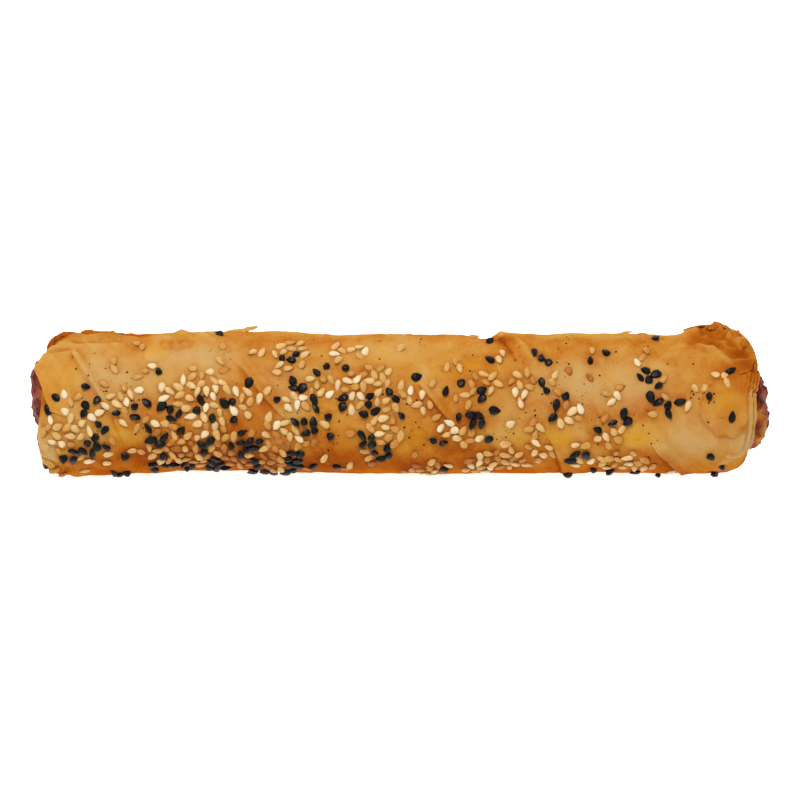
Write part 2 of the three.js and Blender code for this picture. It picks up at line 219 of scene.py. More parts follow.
# Ridges and creases of the crust, as straight lines: along, turn, to along, to turn, half-width, height
FOLDS = np.array([
    (-87.2, -50, -76.5, -53, 1.2, 1.0),
    (-76.5, -53, -70.0, -47, 1.0, 0.6),
    (-87.2, -41, -74.0, -42, 0.7, -0.5),
    (-93.6, -32, -88.0, -41, 1.2, 0.6),
    (-93.6, -25, -88.0, -30, 0.6, -0.5),
    (-91.5, -26, -86.5, -23, 0.8, 0.35),
    (-85.4, -30, -73.6, 44, 0.8, -0.45),
    (-92.0, 60, -89.5, 84, 0.8, -0.6),
    (-84.0, 68, -80.0, 84, 0.9, 0.45),
    (-70.0, 84, -58.0, 96, 1.4, -0.3),
    (5.6, 8, 12.5, 38, 0.6, 0.35),
    (3.4, 14, 9.5, 40, 0.7, -0.3),
    (30.0, -50, 35.5, -12, 0.8, 0.7),
    (27.5, -44, 33.0, -10, 0.9, -0.4),
    (73.1, -50, 80.0, -61, 2.4, 0.4),
    (77.3, -53, 80.5, -42, 1.4, -0.3),
    (79.7, -42, 84.3, -33, 0.9, -0.4),
    (84.3, -33, 88.6, -16, 0.9, -0.4),
    (79.0, -35, 83.5, -28, 1.0, 0.6),
    (83.5, -28, 87.5, -13, 1.0, 0.6),
    (85.9, -56, 91.5, -29, 1.1, 0.7),
    (88.0, -44, 92.5, -17, 0.9, -0.4),
    (88.8, -60, 93.9, -24, 1.1, 0.5),
    (81.0, -58, 86.0, -42, 0.9, -0.6),
    (-72.0, -74, -56.0, -150, 1.3, 0.5),
    (-20.0, -78, -6.0, -140, 1.1, 0.45),
    (46.0, -80, 58.0, -150, 1.3, 0.5),
    (70.0, -76, 76.0, -130, 0.9, -0.4),
])

# Patches of crumpled crust: along, turn, half-length, half-breadth, depth of the creases
CRUMPLES = np.array([
    (85, -50, 10, 30, 1.9),
    (91, -20, 5, 22, 1.0),
    (-90, -60, 6, 20, 0.9),
    (-79, -62, 11, 12, 0.7),
    (-92, 84, 6, 26, 1.6),
    (86, 104, 8, 16, 0.7),
])

# Loose sheets. An edge is a line of places, turn and along, and a sheet lies to its right or its left.
# Where the wall rounds off beneath it, a sheet keeps at least the held share of the wall's height.
SHEETS = {
    "left_sheet_corner": dict(
        edge=[(-42, -90), (-32, -92.6), (-23, -94.6), (-12, -96.1), (-5, -97.1), (2, -96), (12, -94.8),
              (19, -94.1), (31, -92.6), (42, -91.6)],
        side=1, length=9, hold=0.93, lift=0.3, depth=1, ragged=0.3, baking=-0.05, pallor=0),
    "right_outer_sheet": dict(
        edge=[(-14, 92.6), (0, 92), (15, 91.8), (30, 91.6), (45, 91.7), (60, 91.2), (72, 89.6),
              (84, 87.2)],
        side=-1, length=9, hold=0.86, lift=0.3, depth=3, ragged=0.25, baking=0.02, pallor=0),
    "right_middle_sheet": dict(
        edge=[(-6, 93.7), (10, 93.3), (30, 93), (50, 93.1), (65, 92.4), (78, 90.6), (88, 88.4)],
        side=-1, length=6, hold=0.75, lift=0.25, depth=3, ragged=0.35, baking=-0.08, pallor=0.4),
    "right_inner_sheet": dict(
        edge=[(4, 94.9), (20, 94.3), (40, 94.2), (58, 94), (72, 92.6), (84, 90.6)],
        side=-1, length=4, hold=0.62, lift=0.2, depth=3, ragged=0.4, baking=0.02, pallor=0.3),
    "ear_outer_sheet": dict(
        edge=[(-72, 84.5), (-62, 87), (-52, 88.8), (-40, 90.6), (-28, 92.8), (-18, 93.6), (-8, 92),
              (4, 88.5)],
        side=-1, length=8, hold=0.92, lift=0.3, depth=2, ragged=0.9, baking=0.04, pallor=0),
    "ear_inner_sheet": dict(
        edge=[(-60, 88), (-48, 90.2), (-36, 92), (-22, 94.2), (-12, 94.4), (0, 92.6), (10, 89.5)],
        side=-1, length=5, hold=0.7, lift=0.3, depth=3, ragged=0.7, baking=0.06, pallor=0),
}

# The stack of sheet ends beside the crumpled corner, each a step further out and lower than the last
STACK_LAYERS = 4
STACK_FIRST, STACK_STEP = 92.6, 0.8
STACK_HOLD, STACK_HOLD_STEP = 0.88, 0.09
STACKED_SHEET = dict(side=-1, length=3, lift=0.3, depth=2, ragged=0.3, baking=0.08, pallor=0)

# Lobes of sheet that lie on the crust: along, turn, half-length, half-breadth, height, baking
LOBES = np.array([
    (86.5, 28, 6.6, 24, 0.7, 0.3),
    (-65.6, -21, 2.5, 9, 0.3, -0.06),
    (-61.6, -34, 1.5, 6, 0.4, 0.1),
    (-59.0, -32, 1.6, 7, 0.45, 0.14),
    (-56.6, -35, 1.5, 6, 0.4, 0.08),
    (-58.8, -24, 1.8, 4, 0.3, 0.06),
])

# Scales of crust: along, turn, heading, half-length, half-breadth, half-height, baking, held share of wall
SCALES = np.array([
    (-83, -58, 3, 3.0, 1.2, 0.5, 0.8, 0),
    (19.5, -57, 10, 1.0, 0.6, 0.5, 0.5, 0),
    (93.6, -30, 80, 1.5, 0.9, 0.6, 0.7, 0.85),
    (-94.4, 57, 70, 1.6, 1.2, 0.9, 0.22, 0.66),
    (-94.0, 66, 20, 1.8, 1.3, 0.9, 0.15, 0.7),
    (-94.2, 76, 60, 1.7, 1.2, 0.9, 0.22, 0.68),
    (-93.2, 84, 10, 1.7, 1.2, 0.8, 0.3, 0.75),
    (-91.8, 92, 40, 1.6, 1.1, 0.7, 0.4, 0.82),
    (-89.6, 98, 5, 1.4, 1.0, 0.6, 0.5, 0.9),
    (-93.0, -40, 60, 2.0, 1.4, 0.8, 0.9, 0.72),
    (-91.6, -50, 30, 2.2, 1.4, 0.7, 0.95, 0.8),
    (-89.0, -56, 10, 1.7, 1.3, 0.5, 0.85, 0.9),
    (78.5, -62, 10, 2.6, 1.4, 0.5, 0.7, 0.95),
    (84.0, -59, 20, 2.8, 1.6, 0.6, 0.7, 0.95),
    (87.2, -56, 35, 2.4, 1.6, 0.5, 0.7, 0.92),
    (89.2, -47, 60, 2.6, 1.5, 0.7, 0.75, 0.95),
    (91.6, -35, 75, 2.4, 1.4, 0.6, 0.7, 0.93),
    (93.4, -24, 80, 2.0, 1.2, 0.5, 0.65, 0.9),
    (86.4, -45, 40, 3.0, 0.9, 0.35, 0.85, 0.95),
    (83.0, -50, 30, 2.6, 0.8, 0.3, 0.8, 0.95),
])

# Where the crust is darker or paler than gold, baked so, and low on the front partly painted shade among
# the seeds: along, turn, half-length, half-breadth, amount
BAKING_AND_SHADE = np.array([
    (-93.5, 66, 3.5, 12, -0.25), (-87.5, -6, 7, 22, 0.05), (-73, 3, 11, 22, -0.16),
    (-59, -14, 10, 14, -0.12), (-50, -19, 9, 14, -0.08), (-72, -32, 5, 9, 0.22), (-80, -57, 13, 9, 0.46),
    (-91, -56, 5, 16, 0.65), (-87, 92, 10, 18, 0.1), (-68, 78, 10, 16, 0.08), (-29, -42, 14, 10, 0.22),
    (-35, 30, 4, 12, 0.28), (-16, 74, 10, 20, 0.34), (13, 72, 15, 18, 0.12), (11.5, 28, 3, 10, 0.25),
    (31, 38, 8, 16, -0.14), (28, -42, 4, 9, 0.3), (49, 8, 12, 20, -0.14), (52, -40, 20, 10, 0.2),
    (76, 55, 7, 17, -0.2), (66, 76, 6, 12, 0.2), (92, 62, 4, 16, -0.14), (-94, 33, 3, 8, 0.35),
    (-54, 72, 15, 18, 0.42), (-30, 64, 9, 22, 0.1), (84, -42, 12, 24, 0.24), (93, -14, 5, 26, 0.3),
    (19.5, 2, 8, 28, 0.2), (-84, 58, 8, 12, -0.12), (-61, 84, 7, 12, 0.14), (-33, 30, 6, 10, -0.14),
    (20, 40, 8, 9, 0.36), (-42, 47, 9, 14, 0.34), (-34, 84, 9, 12, 0.5), (-60, 42, 6, 9, 0.12),
    (5, 52, 8, 14, 0.24), (5, 84, 11, 14, 0.42), (-7, -30, 7, 14, -0.22), (40, 28, 12, 12, 0.18),
    (62, 34, 13, 12, 0.26), (73, -33, 7, 10, -0.1), (-74, -33, 8, 9, -0.16), (-60, -33, 6, 10, 0.18),
    (86, -4, 6, 14, 0.18), (30, 60, 8, 10, -0.15), (-20, 41, 6, 9, -0.12), (-47, 15, 6, 12, 0.18),
    (59, 60, 7, 9, 0.14), (33, -12, 6, 10, 0.12), (-27, -15, 6, 10, 0.14), (73, 38, 7, 10, 0.12),
    (-91, 20, 5, 12, 0.14), (-67, 72, 8, 9, 0.18), (-40, 72, 8, 9, 0.22), (26, 70, 8, 9, 0.2),
    (-1, 50, 12, 10, 0.04), (-67, -56, 8, 10, 0.07), (13, -56, 9, 10, 0.07),
])

# Where the crust shows paler and milky: along, turn, half-length, half-breadth, amount
PALLOR = np.array([
    (-93.5, 66, 3.5, 12, 0.9), (-58, -14, 11, 15, 0.6), (-74, 6, 9, 20, 0.75), (-48, -18, 8, 12, 0.4),
    (-30, 2, 7, 16, 0.35), (0, -25, 8, 9, 0.3), (30, 36, 9, 16, 0.15), (49, 8, 13, 22, 0.6),
    (64, 14, 8, 18, 0.35), (77, 58, 8, 15, 0.6), (76, 36, 5, 12, 0.4), (92, 62, 4, 16, 0.6),
    (-80, -10, 5, 20, 0.3), (-27, 33, 5, 9, 0.35),
])

# Where butter shows yellow through the crust: along, turn, half-length, half-breadth, amount
BUTTER = np.array([
    (-66, -24, 4, 10, 0.8), (-88, 4, 6, 18, 0.4), (-74, 52, 6, 12, 0.5), (-52, -4, 5, 8, 0.4),
    (-22, 36, 5, 14, 0.5), (-3, -24, 10, 10, 0.5), (18, -6, 9, 10, 0.4), (0, 62, 6, 10, 0.2),
    (42.7, 55, 3, 12, 0.7), (32, 60, 8, 12, 0.5), (55, 4, 4, 9, 0.5), (63, 55, 7, 9, 0.8),
    (72, 34, 5, 10, 0.5), (86, 22, 4, 10, 0.5), (-2, 52, 12, 10, 0.35), (39, -20, 6, 9, 0.3),
])

# Where single sesame seeds lie: along, turn
SESAME_SEEDS = np.array([
    (-88.2, 19), (-88.5, 32), (-82, 49), (-78, 9), (-78, 82), (-73, 42), (-69.6, 47), (-67, 39),
    (-47.5, -13), (-46.3, -4), (-47, -30), (-44, 60), (-40, 58), (-35, 14), (-26, -23), (-26, -12),
    (-25, 90), (-20, 43), (-20, 75), (-13, 51), (-12.6, -1), (0, -29), (1.2, 96), (4, 69), (8.7, 8),
    (9.7, 37), (28, 62), (29.3, 43), (44.6, -3), (50.2, 2), (51, -26), (65.5, -27), (66.7, 35), (69, 2),
    (69.8, 21), (76, 28), (87.5, 73),
])

# Where sesame fell in drifts: along, turn, half-length, half-breadth, seeds
SESAME_DRIFTS = np.array([
    (-94.5, 35, 1.2, 7, 3), (-90.5, 43, 2, 6, 3), (-90.5, 58, 2.4, 8, 6), (-86, 23, 1, 2, 2),
    (-86, 47, 2.4, 7, 6), (-84, 80, 0.8, 14, 3), (-79.6, 34, 0.6, 5, 3), (-77.3, 63, 0.5, 6, 2),
    (-75.6, -8, 0.5, 4, 2), (-72, 22, 4.5, 6, 8), (-70, 70, 1, 3, 2), (-69, -34, 1, 3, 2),
    (-68, -2, 2, 3, 3), (-64.5, 60, 4, 5, 4), (-62, 44, 3, 2, 3), (-60.5, 16, 3, 3, 5),
    (-59, 74, 5.5, 10, 16), (-56, -2, 0.8, 8, 2), (-56, 26, 1.5, 8, 4), (-56, 60, 1.5, 4, 3),
    (-51, 80, 3, 7, 5), (-50.2, 9, 4.8, 6, 12), (-49.6, 35, 2.6, 9, 7), (-49, 54, 3, 6, 6),
    (-44.5, 76, 3.2, 5, 6), (-41, 26, 2.8, 9, 8), (-39, 74, 3, 7, 4), (-37.4, -25, 1.2, 2, 2),
    (-34, 42, 0.8, 2, 2), (-33, 82, 4, 12, 9), (-32, -27, 1.4, 6, 3), (-31.5, -7, 1.4, 2, 3),
    (-31, 58, 3.5, 10, 14), (-28.6, -33, 2.2, 3, 4), (-27, 25, 2.4, 7, 6), (-24, 59, 1, 2, 2),
    (-21.5, 9, 3.6, 8, 8), (-13.6, 88, 0.8, 2, 2), (-13.4, -25, 4, 5, 8), (-13, 12, 2, 4, 3),
    (-11.6, 24, 1.2, 6, 4), (-7, 74, 2.4, 5, 3), (-5.8, 3.5, 4.8, 6, 12), (-5, 43, 3.2, 4, 6),
    (-4.6, 27, 2, 8, 4), (-3, 54, 2, 7, 5), (1.4, 17, 1, 7, 4), (5.5, 26, 2, 5, 4), (9.5, 91, 6.5, 5, 11),
    (12.6, 47, 2, 5, 4), (13.8, -9, 2, 2, 3), (16.4, 23, 1.6, 4, 3), (18, 57, 3, 9, 6),
    (20, 8, 4.4, 8, 8), (22.3, 85, 3.2, 9, 13), (26.7, -18, 1.2, 1, 2), (29, 82, 3.5, 10, 11),
    (32, 10, 3, 17, 9), (35.3, 58, 1.4, 16, 7), (38, 70, 1.4, 8, 4), (41, 8, 1.2, 6, 3),
    (45.6, 40, 2, 14, 6), (47, 63, 2, 3, 2), (48, 80, 3, 4, 3), (55, 49, 3.6, 8, 7), (56, 80, 3, 6, 9),
    (57, 20, 1.2, 10, 4), (61.3, 78, 0.6, 9, 2), (63, -17, 0.8, 2, 2), (64.7, 83, 1.8, 5, 5),
    (73, 98, 1, 2, 2), (79.4, 12, 1.8, 1, 2), (85, 2, 2.4, 3, 3), (0, -114, 85, 24, 30),
])

# Where sesame is darker or paler, toasted so, and low on the front partly painted shade: along, turn,
# half-length, half-breadth, amount
TOASTING_AND_SHADE = np.array([
    (-8, 78, 46, 22, 0.4), (-36, 82, 14, 18, 0.4), (-35, 27, 55, 13, -0.25), (45, 6, 22, 24, 0.2),
    (-62, 64, 14, 18, 0.35), (-64, -10, 14, 10, -0.2),
])

# Where single nigella seeds lie: along, turn
NIGELLA_SEEDS = np.array([
    (-93.8, 34), (-94, 52), (-94, 93), (-90.8, 21), (-83, 11), (-83, 28), (-83, 36), (-80, 23), (-80, 42),
    (-78, 48), (-75, 33), (-73, 74), (-72, 26), (-70, 37), (-67, 25), (-66, 46), (-65, 97), (-64, -3),
    (-62, 28), (-58, 50), (-56, 94), (-54, 68), (-53, 33), (-52, 24), (-50, 38), (-50, 59), (-48, -50),
    (-47, 26), (-45, 25), (-44, 40), (-42, 51), (-40, 8), (-34, 106), (-32, 22), (-29, 43), (-28.5, 5),
    (-28, 14), (-25.6, 41), (-25, 14), (-25, 52), (-23.3, 50), (-23.3, 87), (-23, 42), (-22.5, 18),
    (-22.5, 27), (-22, -2), (-19.5, -9), (-19, 37), (-18.5, 54), (-16.7, 87), (-14.7, 29), (-14, -6),
    (-14, 17), (-10.4, 29), (-8.7, 27), (-7.6, 18), (-5.6, 33), (-3, 21), (-1, 20), (0, 35), (4.4, 2),
    (8.7, 57), (11, 90), (11.7, 58), (12, 15), (15.5, 37), (16, 8), (18.7, 36), (19.2, 46), (21, 36),
    (21, 43), (21.6, 21), (21.7, 14), (23.4, 57), (24, -15), (24, -40), (25, 31), (35.4, -20),
    (37.3, -16), (38, 9), (39.3, -11), (40, 10), (40.3, 38), (41.3, 27), (43.4, 19), (44.6, 104),
    (45.8, 80), (46.3, 71), (49, 75), (50.3, -15), (51.4, 94), (53, 52), (54.5, -24), (56, 98),
    (56.2, 45), (58.7, 44), (59.2, 36), (62.5, 98), (66.3, 20), (68, -50), (68.3, 10), (68.4, 24),
    (69, 112), (70.8, 28), (71, 33), (74, 24), (81.7, 20), (82.4, 73), (84, 107), (85.6, 89), (87.3, -5),
    (87.5, 36),
])

# Where nigella fell in drifts: along, turn, half-length, half-breadth, seeds
NIGELLA_DRIFTS = np.array([
    (-87, 71, 1.5, 5, 3), (-81, 61, 2.2, 9, 6), (-74.5, 101, 1.6, 3, 3), (-64, 61, 1.4, 2, 3),
    (-63, 79, 2, 4, 3), (-60, 33, 1.4, 3, 3), (-58.5, 80, 1, 3, 2), (-58, 90, 3, 6, 1),
    (-51, 92, 2, 4, 2), (-50, 74, 1, 2, 2), (-46.5, 82, 2, 3, 3), (-46, 93, 4, 6, 1),
    (-42, 64, 1.6, 8, 5), (-39, 103, 1, 3, 2), (-38.5, 64, 0.8, 4, 2), (-38, 81, 0.8, 4, 2),
    (-34.5, 101, 1, 3, 2), (-30, 76, 0.5, 8, 2), (-29.3, 96, 1, 3, 2), (-28.7, -20, 2, 2, 3),
    (-28.5, 77, 1.8, 4, 4), (-7.4, 58, 2, 6, 5), (-5, 66, 1.6, 3, 3), (65.4, 1, 1.3, 4, 4),
    (0, -114, 85, 24, 14),
])

# Loose flakes: along, turn, heading, length, width, lift
FLAKES = np.array([
    (-46.5, -65, -3, 8.5, 3.4, 1.3),
    (-65, -62, 4, 8, 2.2, -0.3),
    (18, -63, -20, 3.4, 2, 0.8),
    (59, -66, 12, 3, 2.2, 0.7),
])


def hump(distance):
    """A round bell: 1 in the middle, falling as the exponential of minus the distance squared."""
    return np.exp(-distance * distance)


def smooth_step(low, high, value):
    """0 at low, 1 at high, and 3 t squared minus 2 t cubed between them."""
    t = np.clip((value - low) / (high - low), 0, 1)
    return t * t * (3 - 2 * t)


def turn_between(start, end):
    """The signed angle from one turn to another, the short way round."""
    return np.arctan2(np.sin(end - start), np.cos(end - start))


def chance(index, use):
    """A number from 0 to 1 that looks random, by index and use: the fraction of a large sine."""
    wave = np.sin(index * 12.9898 + use * 78.233) * 43758.5453
    return wave - np.floor(wave)


def uneven(name, points):
    """A named noise, up to its height either way: hashed values at the corners of cubic cells, blended."""
    height, cell, salt = NOISES[name]
    scaled = points / cell
    corner = np.floor(scaled).astype(np.int64)
    part = scaled - corner
    ease = part * part * (3 - 2 * part)
    total = np.zeros(points.shape[:-1])
    for offset in itertools.product((0, 1), repeat=3):
        x, y, z = np.moveaxis(corner + np.array(offset), -1, 0)
        mixed = x * 73856093 ^ y * 19349663 ^ z * 83492791 ^ salt * 2654435
        mixed = (mixed ^ (mixed >> 13)) * 1274126177
        value = ((mixed ^ (mixed >> 16)) & 0xFFFF) / 32767.5 - 1
        total += value * np.prod(np.where(offset, ease, 1 - ease), axis=-1)
    return height * total


def oval_place(oval, along, turn):
    """A place in half-lengths along and half-breadths round from the middle of an oval."""
    middle, at_turn, length, breadth = oval[:4]
    return (along - middle) / length, turn_between(np.radians(at_turn), turn) / np.radians(breadth)


def patches(table, along, turn):
    """The sum of oval patches: bells of the distance in half-lengths and half-breadths, times amounts."""
    total = np.zeros(np.broadcast(along, turn).shape)
    for oval in table:
        total = total + oval[4] * hump(np.hypot(*oval_place(oval, along, turn)))
    return total


def crust_radius(along, turn):
    """Distance from the axis to the crust: an oval, two slow waves and the blisters."""
    oval = HALF_WIDTH * HALF_HEIGHT / np.hypot(HALF_HEIGHT * np.sin(turn), HALF_WIDTH * np.cos(turn))
    slow = SLOW_SWELL * np.sin(along / SLOW_WAVE + 2 * np.sin(turn))
    quick = QUICK_SWELL * np.sin(along / QUICK_WAVE + 3 * np.cos(turn))
    return oval + slow + quick + patches(BLISTERS, along, turn)


def unrolled_place(along, turn):
    """A place on the crust as a point on a plain round roll, for noise to read."""
    return np.stack(np.broadcast_arrays(along, MEAN_RADIUS * np.sin(turn), MEAN_RADIUS * np.cos(turn)), -1)


def edge_place(turn, salt):
    """A place on an edge that runs round the roll, by its distance round it, for noise to read."""
    return np.stack([turn * MEAN_RADIUS, 0 * turn, 0 * turn + salt], -1)


def lap_edge(lap, turn):
    """Where the edge of a winding crosses the roll: a sine of half the turn, a small wave and noise."""
    wander = uneven("lap_wander", edge_place(turn, lap.along))
    wave = LAP_WAVE * np.sin(LAP_WAVES * turn + lap.along)
    return lap.along + lap.sweep * np.sin(turn / 2) + wave + wander


def lap_presence(lap, turn):
    """How much of the edge is there: a squared sine from one end of it to the other, cut off at 1."""
    share = np.clip((turn - np.radians(lap.start)) / np.radians(lap.end - lap.start), 0, 1)
    return np.minimum(1, 4 * np.sin(np.pi * share) ** 2)


def lap_rise(lap, turn):
    """How far the edge stands up."""
    return LAP_THICKNESS * lap.rise * lap_presence(lap, turn)


def lap_bead(lap, turn):
    """Height of the bead along the edge, uneven by noise."""
    lumpy = BEAD_SHARE + uneven("bead_lumps", edge_place(turn, lap.along))
    return lap.bead * lap_presence(lap, turn) * lumpy


def lap_height(lap, turn, across):
    """Height of a winding over the crust: its rise at the edge, and just below the crust at its tail."""
    return lap_rise(lap, turn) * (1 - across) - LAP_TAIL * across


def winding_height(along, turn):
    """Height of the outermost winding over the crust, with a short ramp and a round bead at each edge."""
    total = np.zeros(np.broadcast(along, turn).shape)
    beads = np.zeros(total.shape)
    for lap in LAPS:
        past = along - lap_edge(lap, turn)
        across = np.clip(past / lap.width, 0, 1)
        total = np.maximum(total, lap_height(lap, turn, across) * smooth_step(*LAP_RAMP, past))
        beads += lap_bead(lap, turn) * hump((past - BEAD_MIDDLE) / BEAD_HALF_WIDTH)
    return total + beads


def lobe_columns(dimensions):
    """The columns of the table of lobes, shaped to stand before arrays of so many dimensions."""
    return LOBES.T.reshape(LOBES.shape[1], -1, *[1] * dimensions)


def beyond_lobes(along, turn):
    """How far a place lies past the border of each lobe, in millimetres: from an oval, bent by noise."""
    bent = uneven("lobe_bends", unrolled_place(along, turn))
    lobes = lobe_columns(bent.ndim)
    return (np.hypot(*oval_place(lobes, along, turn)) + bent - 1) * lobes[2]


def lobe_showing(along, turn):
    """How much of each lobe shows: its lower left, and not its upper right, which the crust runs into."""
    aside, round_it = oval_place(lobe_columns(np.broadcast(along, turn).ndim), along, turn)
    return smooth_step(-0.9, 0.1, round_it - aside)


def lobe_total(amounts, along, turn):
    """The sum of the lobes times their amounts: each flat, with a short ramp at its border."""
    flats = 1 - smooth_step(-0.4, 0.2, beyond_lobes(along, turn))
    return np.tensordot(amounts, flats * lobe_showing(along, turn), 1)


def lobe_borders(along, turn):
    """The shade around the lobes: a narrow bell just past each border, stronger by a higher lobe."""
    beside = hump((beyond_lobes(along, turn) - 0.35) / 0.5) * lobe_showing(along, turn)
    return (beside * lobe_columns(beside.ndim - 1)[4]).max(axis=0)


def fold_height(along, turn):
    """Ridges and creases: bells of the distance to straight lines on the unrolled crust, bent by noise."""
    bent = uneven("fold_bends", unrolled_place(along, turn))
    total = np.zeros(bent.shape)
    for start, start_turn, end, end_turn, half_width, height in FOLDS:
        run = end - start
        climb = MEAN_RADIUS * np.radians(end_turn - start_turn)
        aside = along - start + bent
        round_it = MEAN_RADIUS * turn_between(np.radians(start_turn), turn) + bent
        part = np.clip((aside * run + round_it * climb) / (run * run + climb * climb), 0, 1)
        away = np.hypot(aside - part * run, round_it - part * climb)
        total += height * hump(away / half_width)
    return total


def sheet_wrinkles(along, turn):
    """Fine ridges that run slantwise with the windings: crests of a drawn-out noise, patchy by another."""
    round_it = MEAN_RADIUS * turn
    across, lengthways = np.broadcast_arrays(along - WRINKLE_SLANT * round_it,
                                             WRINKLE_SLANT * along + round_it)
    drawn_out = np.stack([across, WRINKLE_STRETCH * lengthways, 0 * across], -1)
    where = smooth_step(-0.1, 0.5, uneven("wrinkled_patches", unrolled_place(along, turn)))
    return where * (WRINKLE_HEIGHT - np.abs(uneven("wrinkles", drawn_out)))


def crumpling(place):
    """Creases of crumpled crust: the crests of a coarse and a fine noise, with grit."""
    creases = np.abs(uneven("creases", place * (1, 1.4, 1.4))) + np.abs(uneven("small_creases", place))
    return CREASE_LEVEL - creases + uneven("grit", place)


def lap_ripples(along, turn):
    """Ripples beside the lap edges: a sine of the distance to each, swayed by noise and dying away."""
    wander = uneven("ripple_wander", unrolled_place(along, turn))
    total = np.zeros(wander.shape)
    for lap in LAPS:
        past = along - lap_edge(lap, turn)
        near = np.exp(-np.abs(past) / RIPPLE_REACH) * lap_rise(lap, turn) / LAP_THICKNESS
        total += RIPPLE_HEIGHT * near * np.sin(RIPPLE_PITCH * past + wander)
    return total


def crust_relief(along, turn):
    """Fine relief over the crust: dimples, wrinkles, ripples, crags, folds, lobes and crumpled creases."""
    place = unrolled_place(along, turn)
    dimples = uneven("dimples", place) + uneven("small_dimples", place)
    crumpled = patches(CRUMPLES, along, turn) * crumpling(place)
    fine = dimples + crumpled + lap_ripples(along, turn) + sheet_wrinkles(along, turn)
    coarse = patches(CRAGS, along, turn) + fold_height(along, turn) + lobe_total(LOBES[:, 4], along, turn)
    return fine + coarse


def rim_shift(end, turn):
    """How far the slant of a rim moves it along the roll: a cosine with its crest at the furthest turn."""
    return end["outward"] * end["lean"] * np.cos(turn - math.radians(end["furthest"]))


def wall_shift(along, turn):
    """The same behind the rim: all of it on the shoulder, dying away straight down the barrel."""
    by_left = np.clip((BARREL_START + LEAN_LENGTH - along) / LEAN_LENGTH, 0, 1)
    by_right = np.clip((along - BARREL_END + LEAN_LENGTH) / LEAN_LENGTH, 0, 1)
    return rim_shift(LEFT, turn) * by_left + rim_shift(RIGHT, turn) * by_right


def shoulder_share(reach):
    """How much of the wall stands over the bore on a shoulder: a superellipse, from 1 to 0 at the rim."""
    return (1 - np.clip(reach, 0, 1) ** SHOULDER_FULLNESS) ** (1 / SHOULDER_FULLNESS)


def wall_share(along, turn):
    """The same at any place of the roll: 1 on the barrel and less on both shoulders."""
    into_left = (BARREL_START + rim_shift(LEFT, turn) - along) / LEFT["shoulder"]
    into_right = (along - BARREL_END - rim_shift(RIGHT, turn)) / RIGHT["shoulder"]
    return shoulder_share(np.maximum(into_left, into_right))


def filling_offset(along):
    """How far the filling lies to the back of the axis: a straight line through the middle of the roll."""
    return -FILLING_DRIFT * along / RIGHT["rim"]


def pastry_point(along, turn, share, height):
    """A point by the share of wall under it and its height over that, along its turn and not below 0."""
    radius = BORE_RADIUS + (crust_radius(along, turn) - BORE_RADIUS) * share + height
    aside = filling_offset(along) * (1 - share) - radius * np.sin(turn)
    up = np.maximum(0, AXIS_HEIGHT + radius * np.cos(turn))
    return np.stack(np.broadcast_arrays(along, aside, up), -1)


def surface_height(along, turn):
    """Height of the outermost pastry over the crust, with its relief."""
    return winding_height(along, turn) + crust_relief(along, turn)


def on_pastry(along, turn, height):
    """A point at a height over the outermost pastry."""
    return pastry_point(along, turn, wall_share(along, turn), height + surface_height(along, turn))


def baking_and_shading(along, turn):
    """How dark the crust looks: gold with patches and lobes, painted shadows and highlights at the laps,
    browner sides.

    The front is darker by browning and painted shade. The darkening of the front and back gives way to the
    browning of the underside.
    """
    degrees = np.degrees(turn_between(0, turn))
    # Darker low on the front by browning and painted shade, at the back and underneath by browning
    sides = FRONT_BROWNING_AND_SHADE * smooth_step(60, 106, degrees) + BACK_BROWNING * smooth_step(44, 84, -degrees)
    sides = sides + (UNDERSIDE_BROWNING - sides) * smooth_step(120, 170, np.abs(degrees))
    shade = np.zeros(np.broadcast(along, turn).shape)
    for lap in LAPS:
        past = along - lap_edge(lap, turn)
        before = np.exp(-np.abs(past) / 2.2) * (past < 0) + hump((past + 0.3) / 0.5)
        shade += LAP_SHADOW * lap_presence(lap, turn) * before
        # A painted highlight along each bead
        shade -= BEAD_HIGHLIGHT * lap_bead(lap, turn) * hump((past - 0.7) / 0.9)
    lobes = lobe_total(LOBES[:, 5], along, turn) + LOBE_SHADOW * lobe_borders(along, turn)
    return GOLD + sides + shade + patches(BAKING_AND_SHADE, along, turn) + lobes


def glaze_pooling(points, seeds):
    """How much glaze gathered at a point, which also sets painted shade among the seeds: bells of its
    distance to them, summed, held below 1.
    """
    pooled = np.zeros(len(points))
    for some in np.array_split(seeds, SEED_BATCHES):
        away = np.linalg.norm(points[:, None] - some[None], axis=-1)
        pooled += hump(away / GLAZE_REACH).sum(axis=1)
    return 1 - np.exp(-pooled)


def pastry_shades(along, turn, relief=0.0, baking=0.0, pallor=0.0, glaze=0.0):
    """The shades of a piece of pastry: how it baked and is shaded, and how milky, buttery and glazed it is.

    Hollows are darker and ridges paler, a painted shade and light on the relief; glaze is browner, partly
    as painted shade among the seeds, and hides the tints.
    """
    bare = 1 - GLAZE_COVER * glaze
    painted_relief_shade = -RELIEF_SHADING * np.tanh(relief / HOLLOW_DEPTH)
    return dict(bake=baking_and_shading(along, turn) + baking + GLAZE_AND_SEED_SHADE * glaze + painted_relief_shade,
                pallor=np.clip(patches(PALLOR, along, turn) + pallor, 0, 1) * bare,
                butter=np.clip(patches(BUTTER, along, turn), 0, 1) * bare,
                glaze=glaze + np.zeros(np.broadcast(along, turn).shape))


def grid_faces(rows, columns, close_rows=False):
    """Faces between neighbours of a grid whose rows are rings: their corners, and how many each has."""
    row = np.arange(rows if close_rows else rows - 1)[:, None]
    column = np.arange(columns)[None, :]
    next_row, next_column = (row + 1) % rows, (column + 1) % columns
    corners = (row * columns + column, row * columns + next_column,
               next_row * columns + next_column, next_row * columns + column)
    quads = np.stack(np.broadcast_arrays(*corners), -1)
    return quads.reshape(-1), np.full(quads.size // 4, 4)


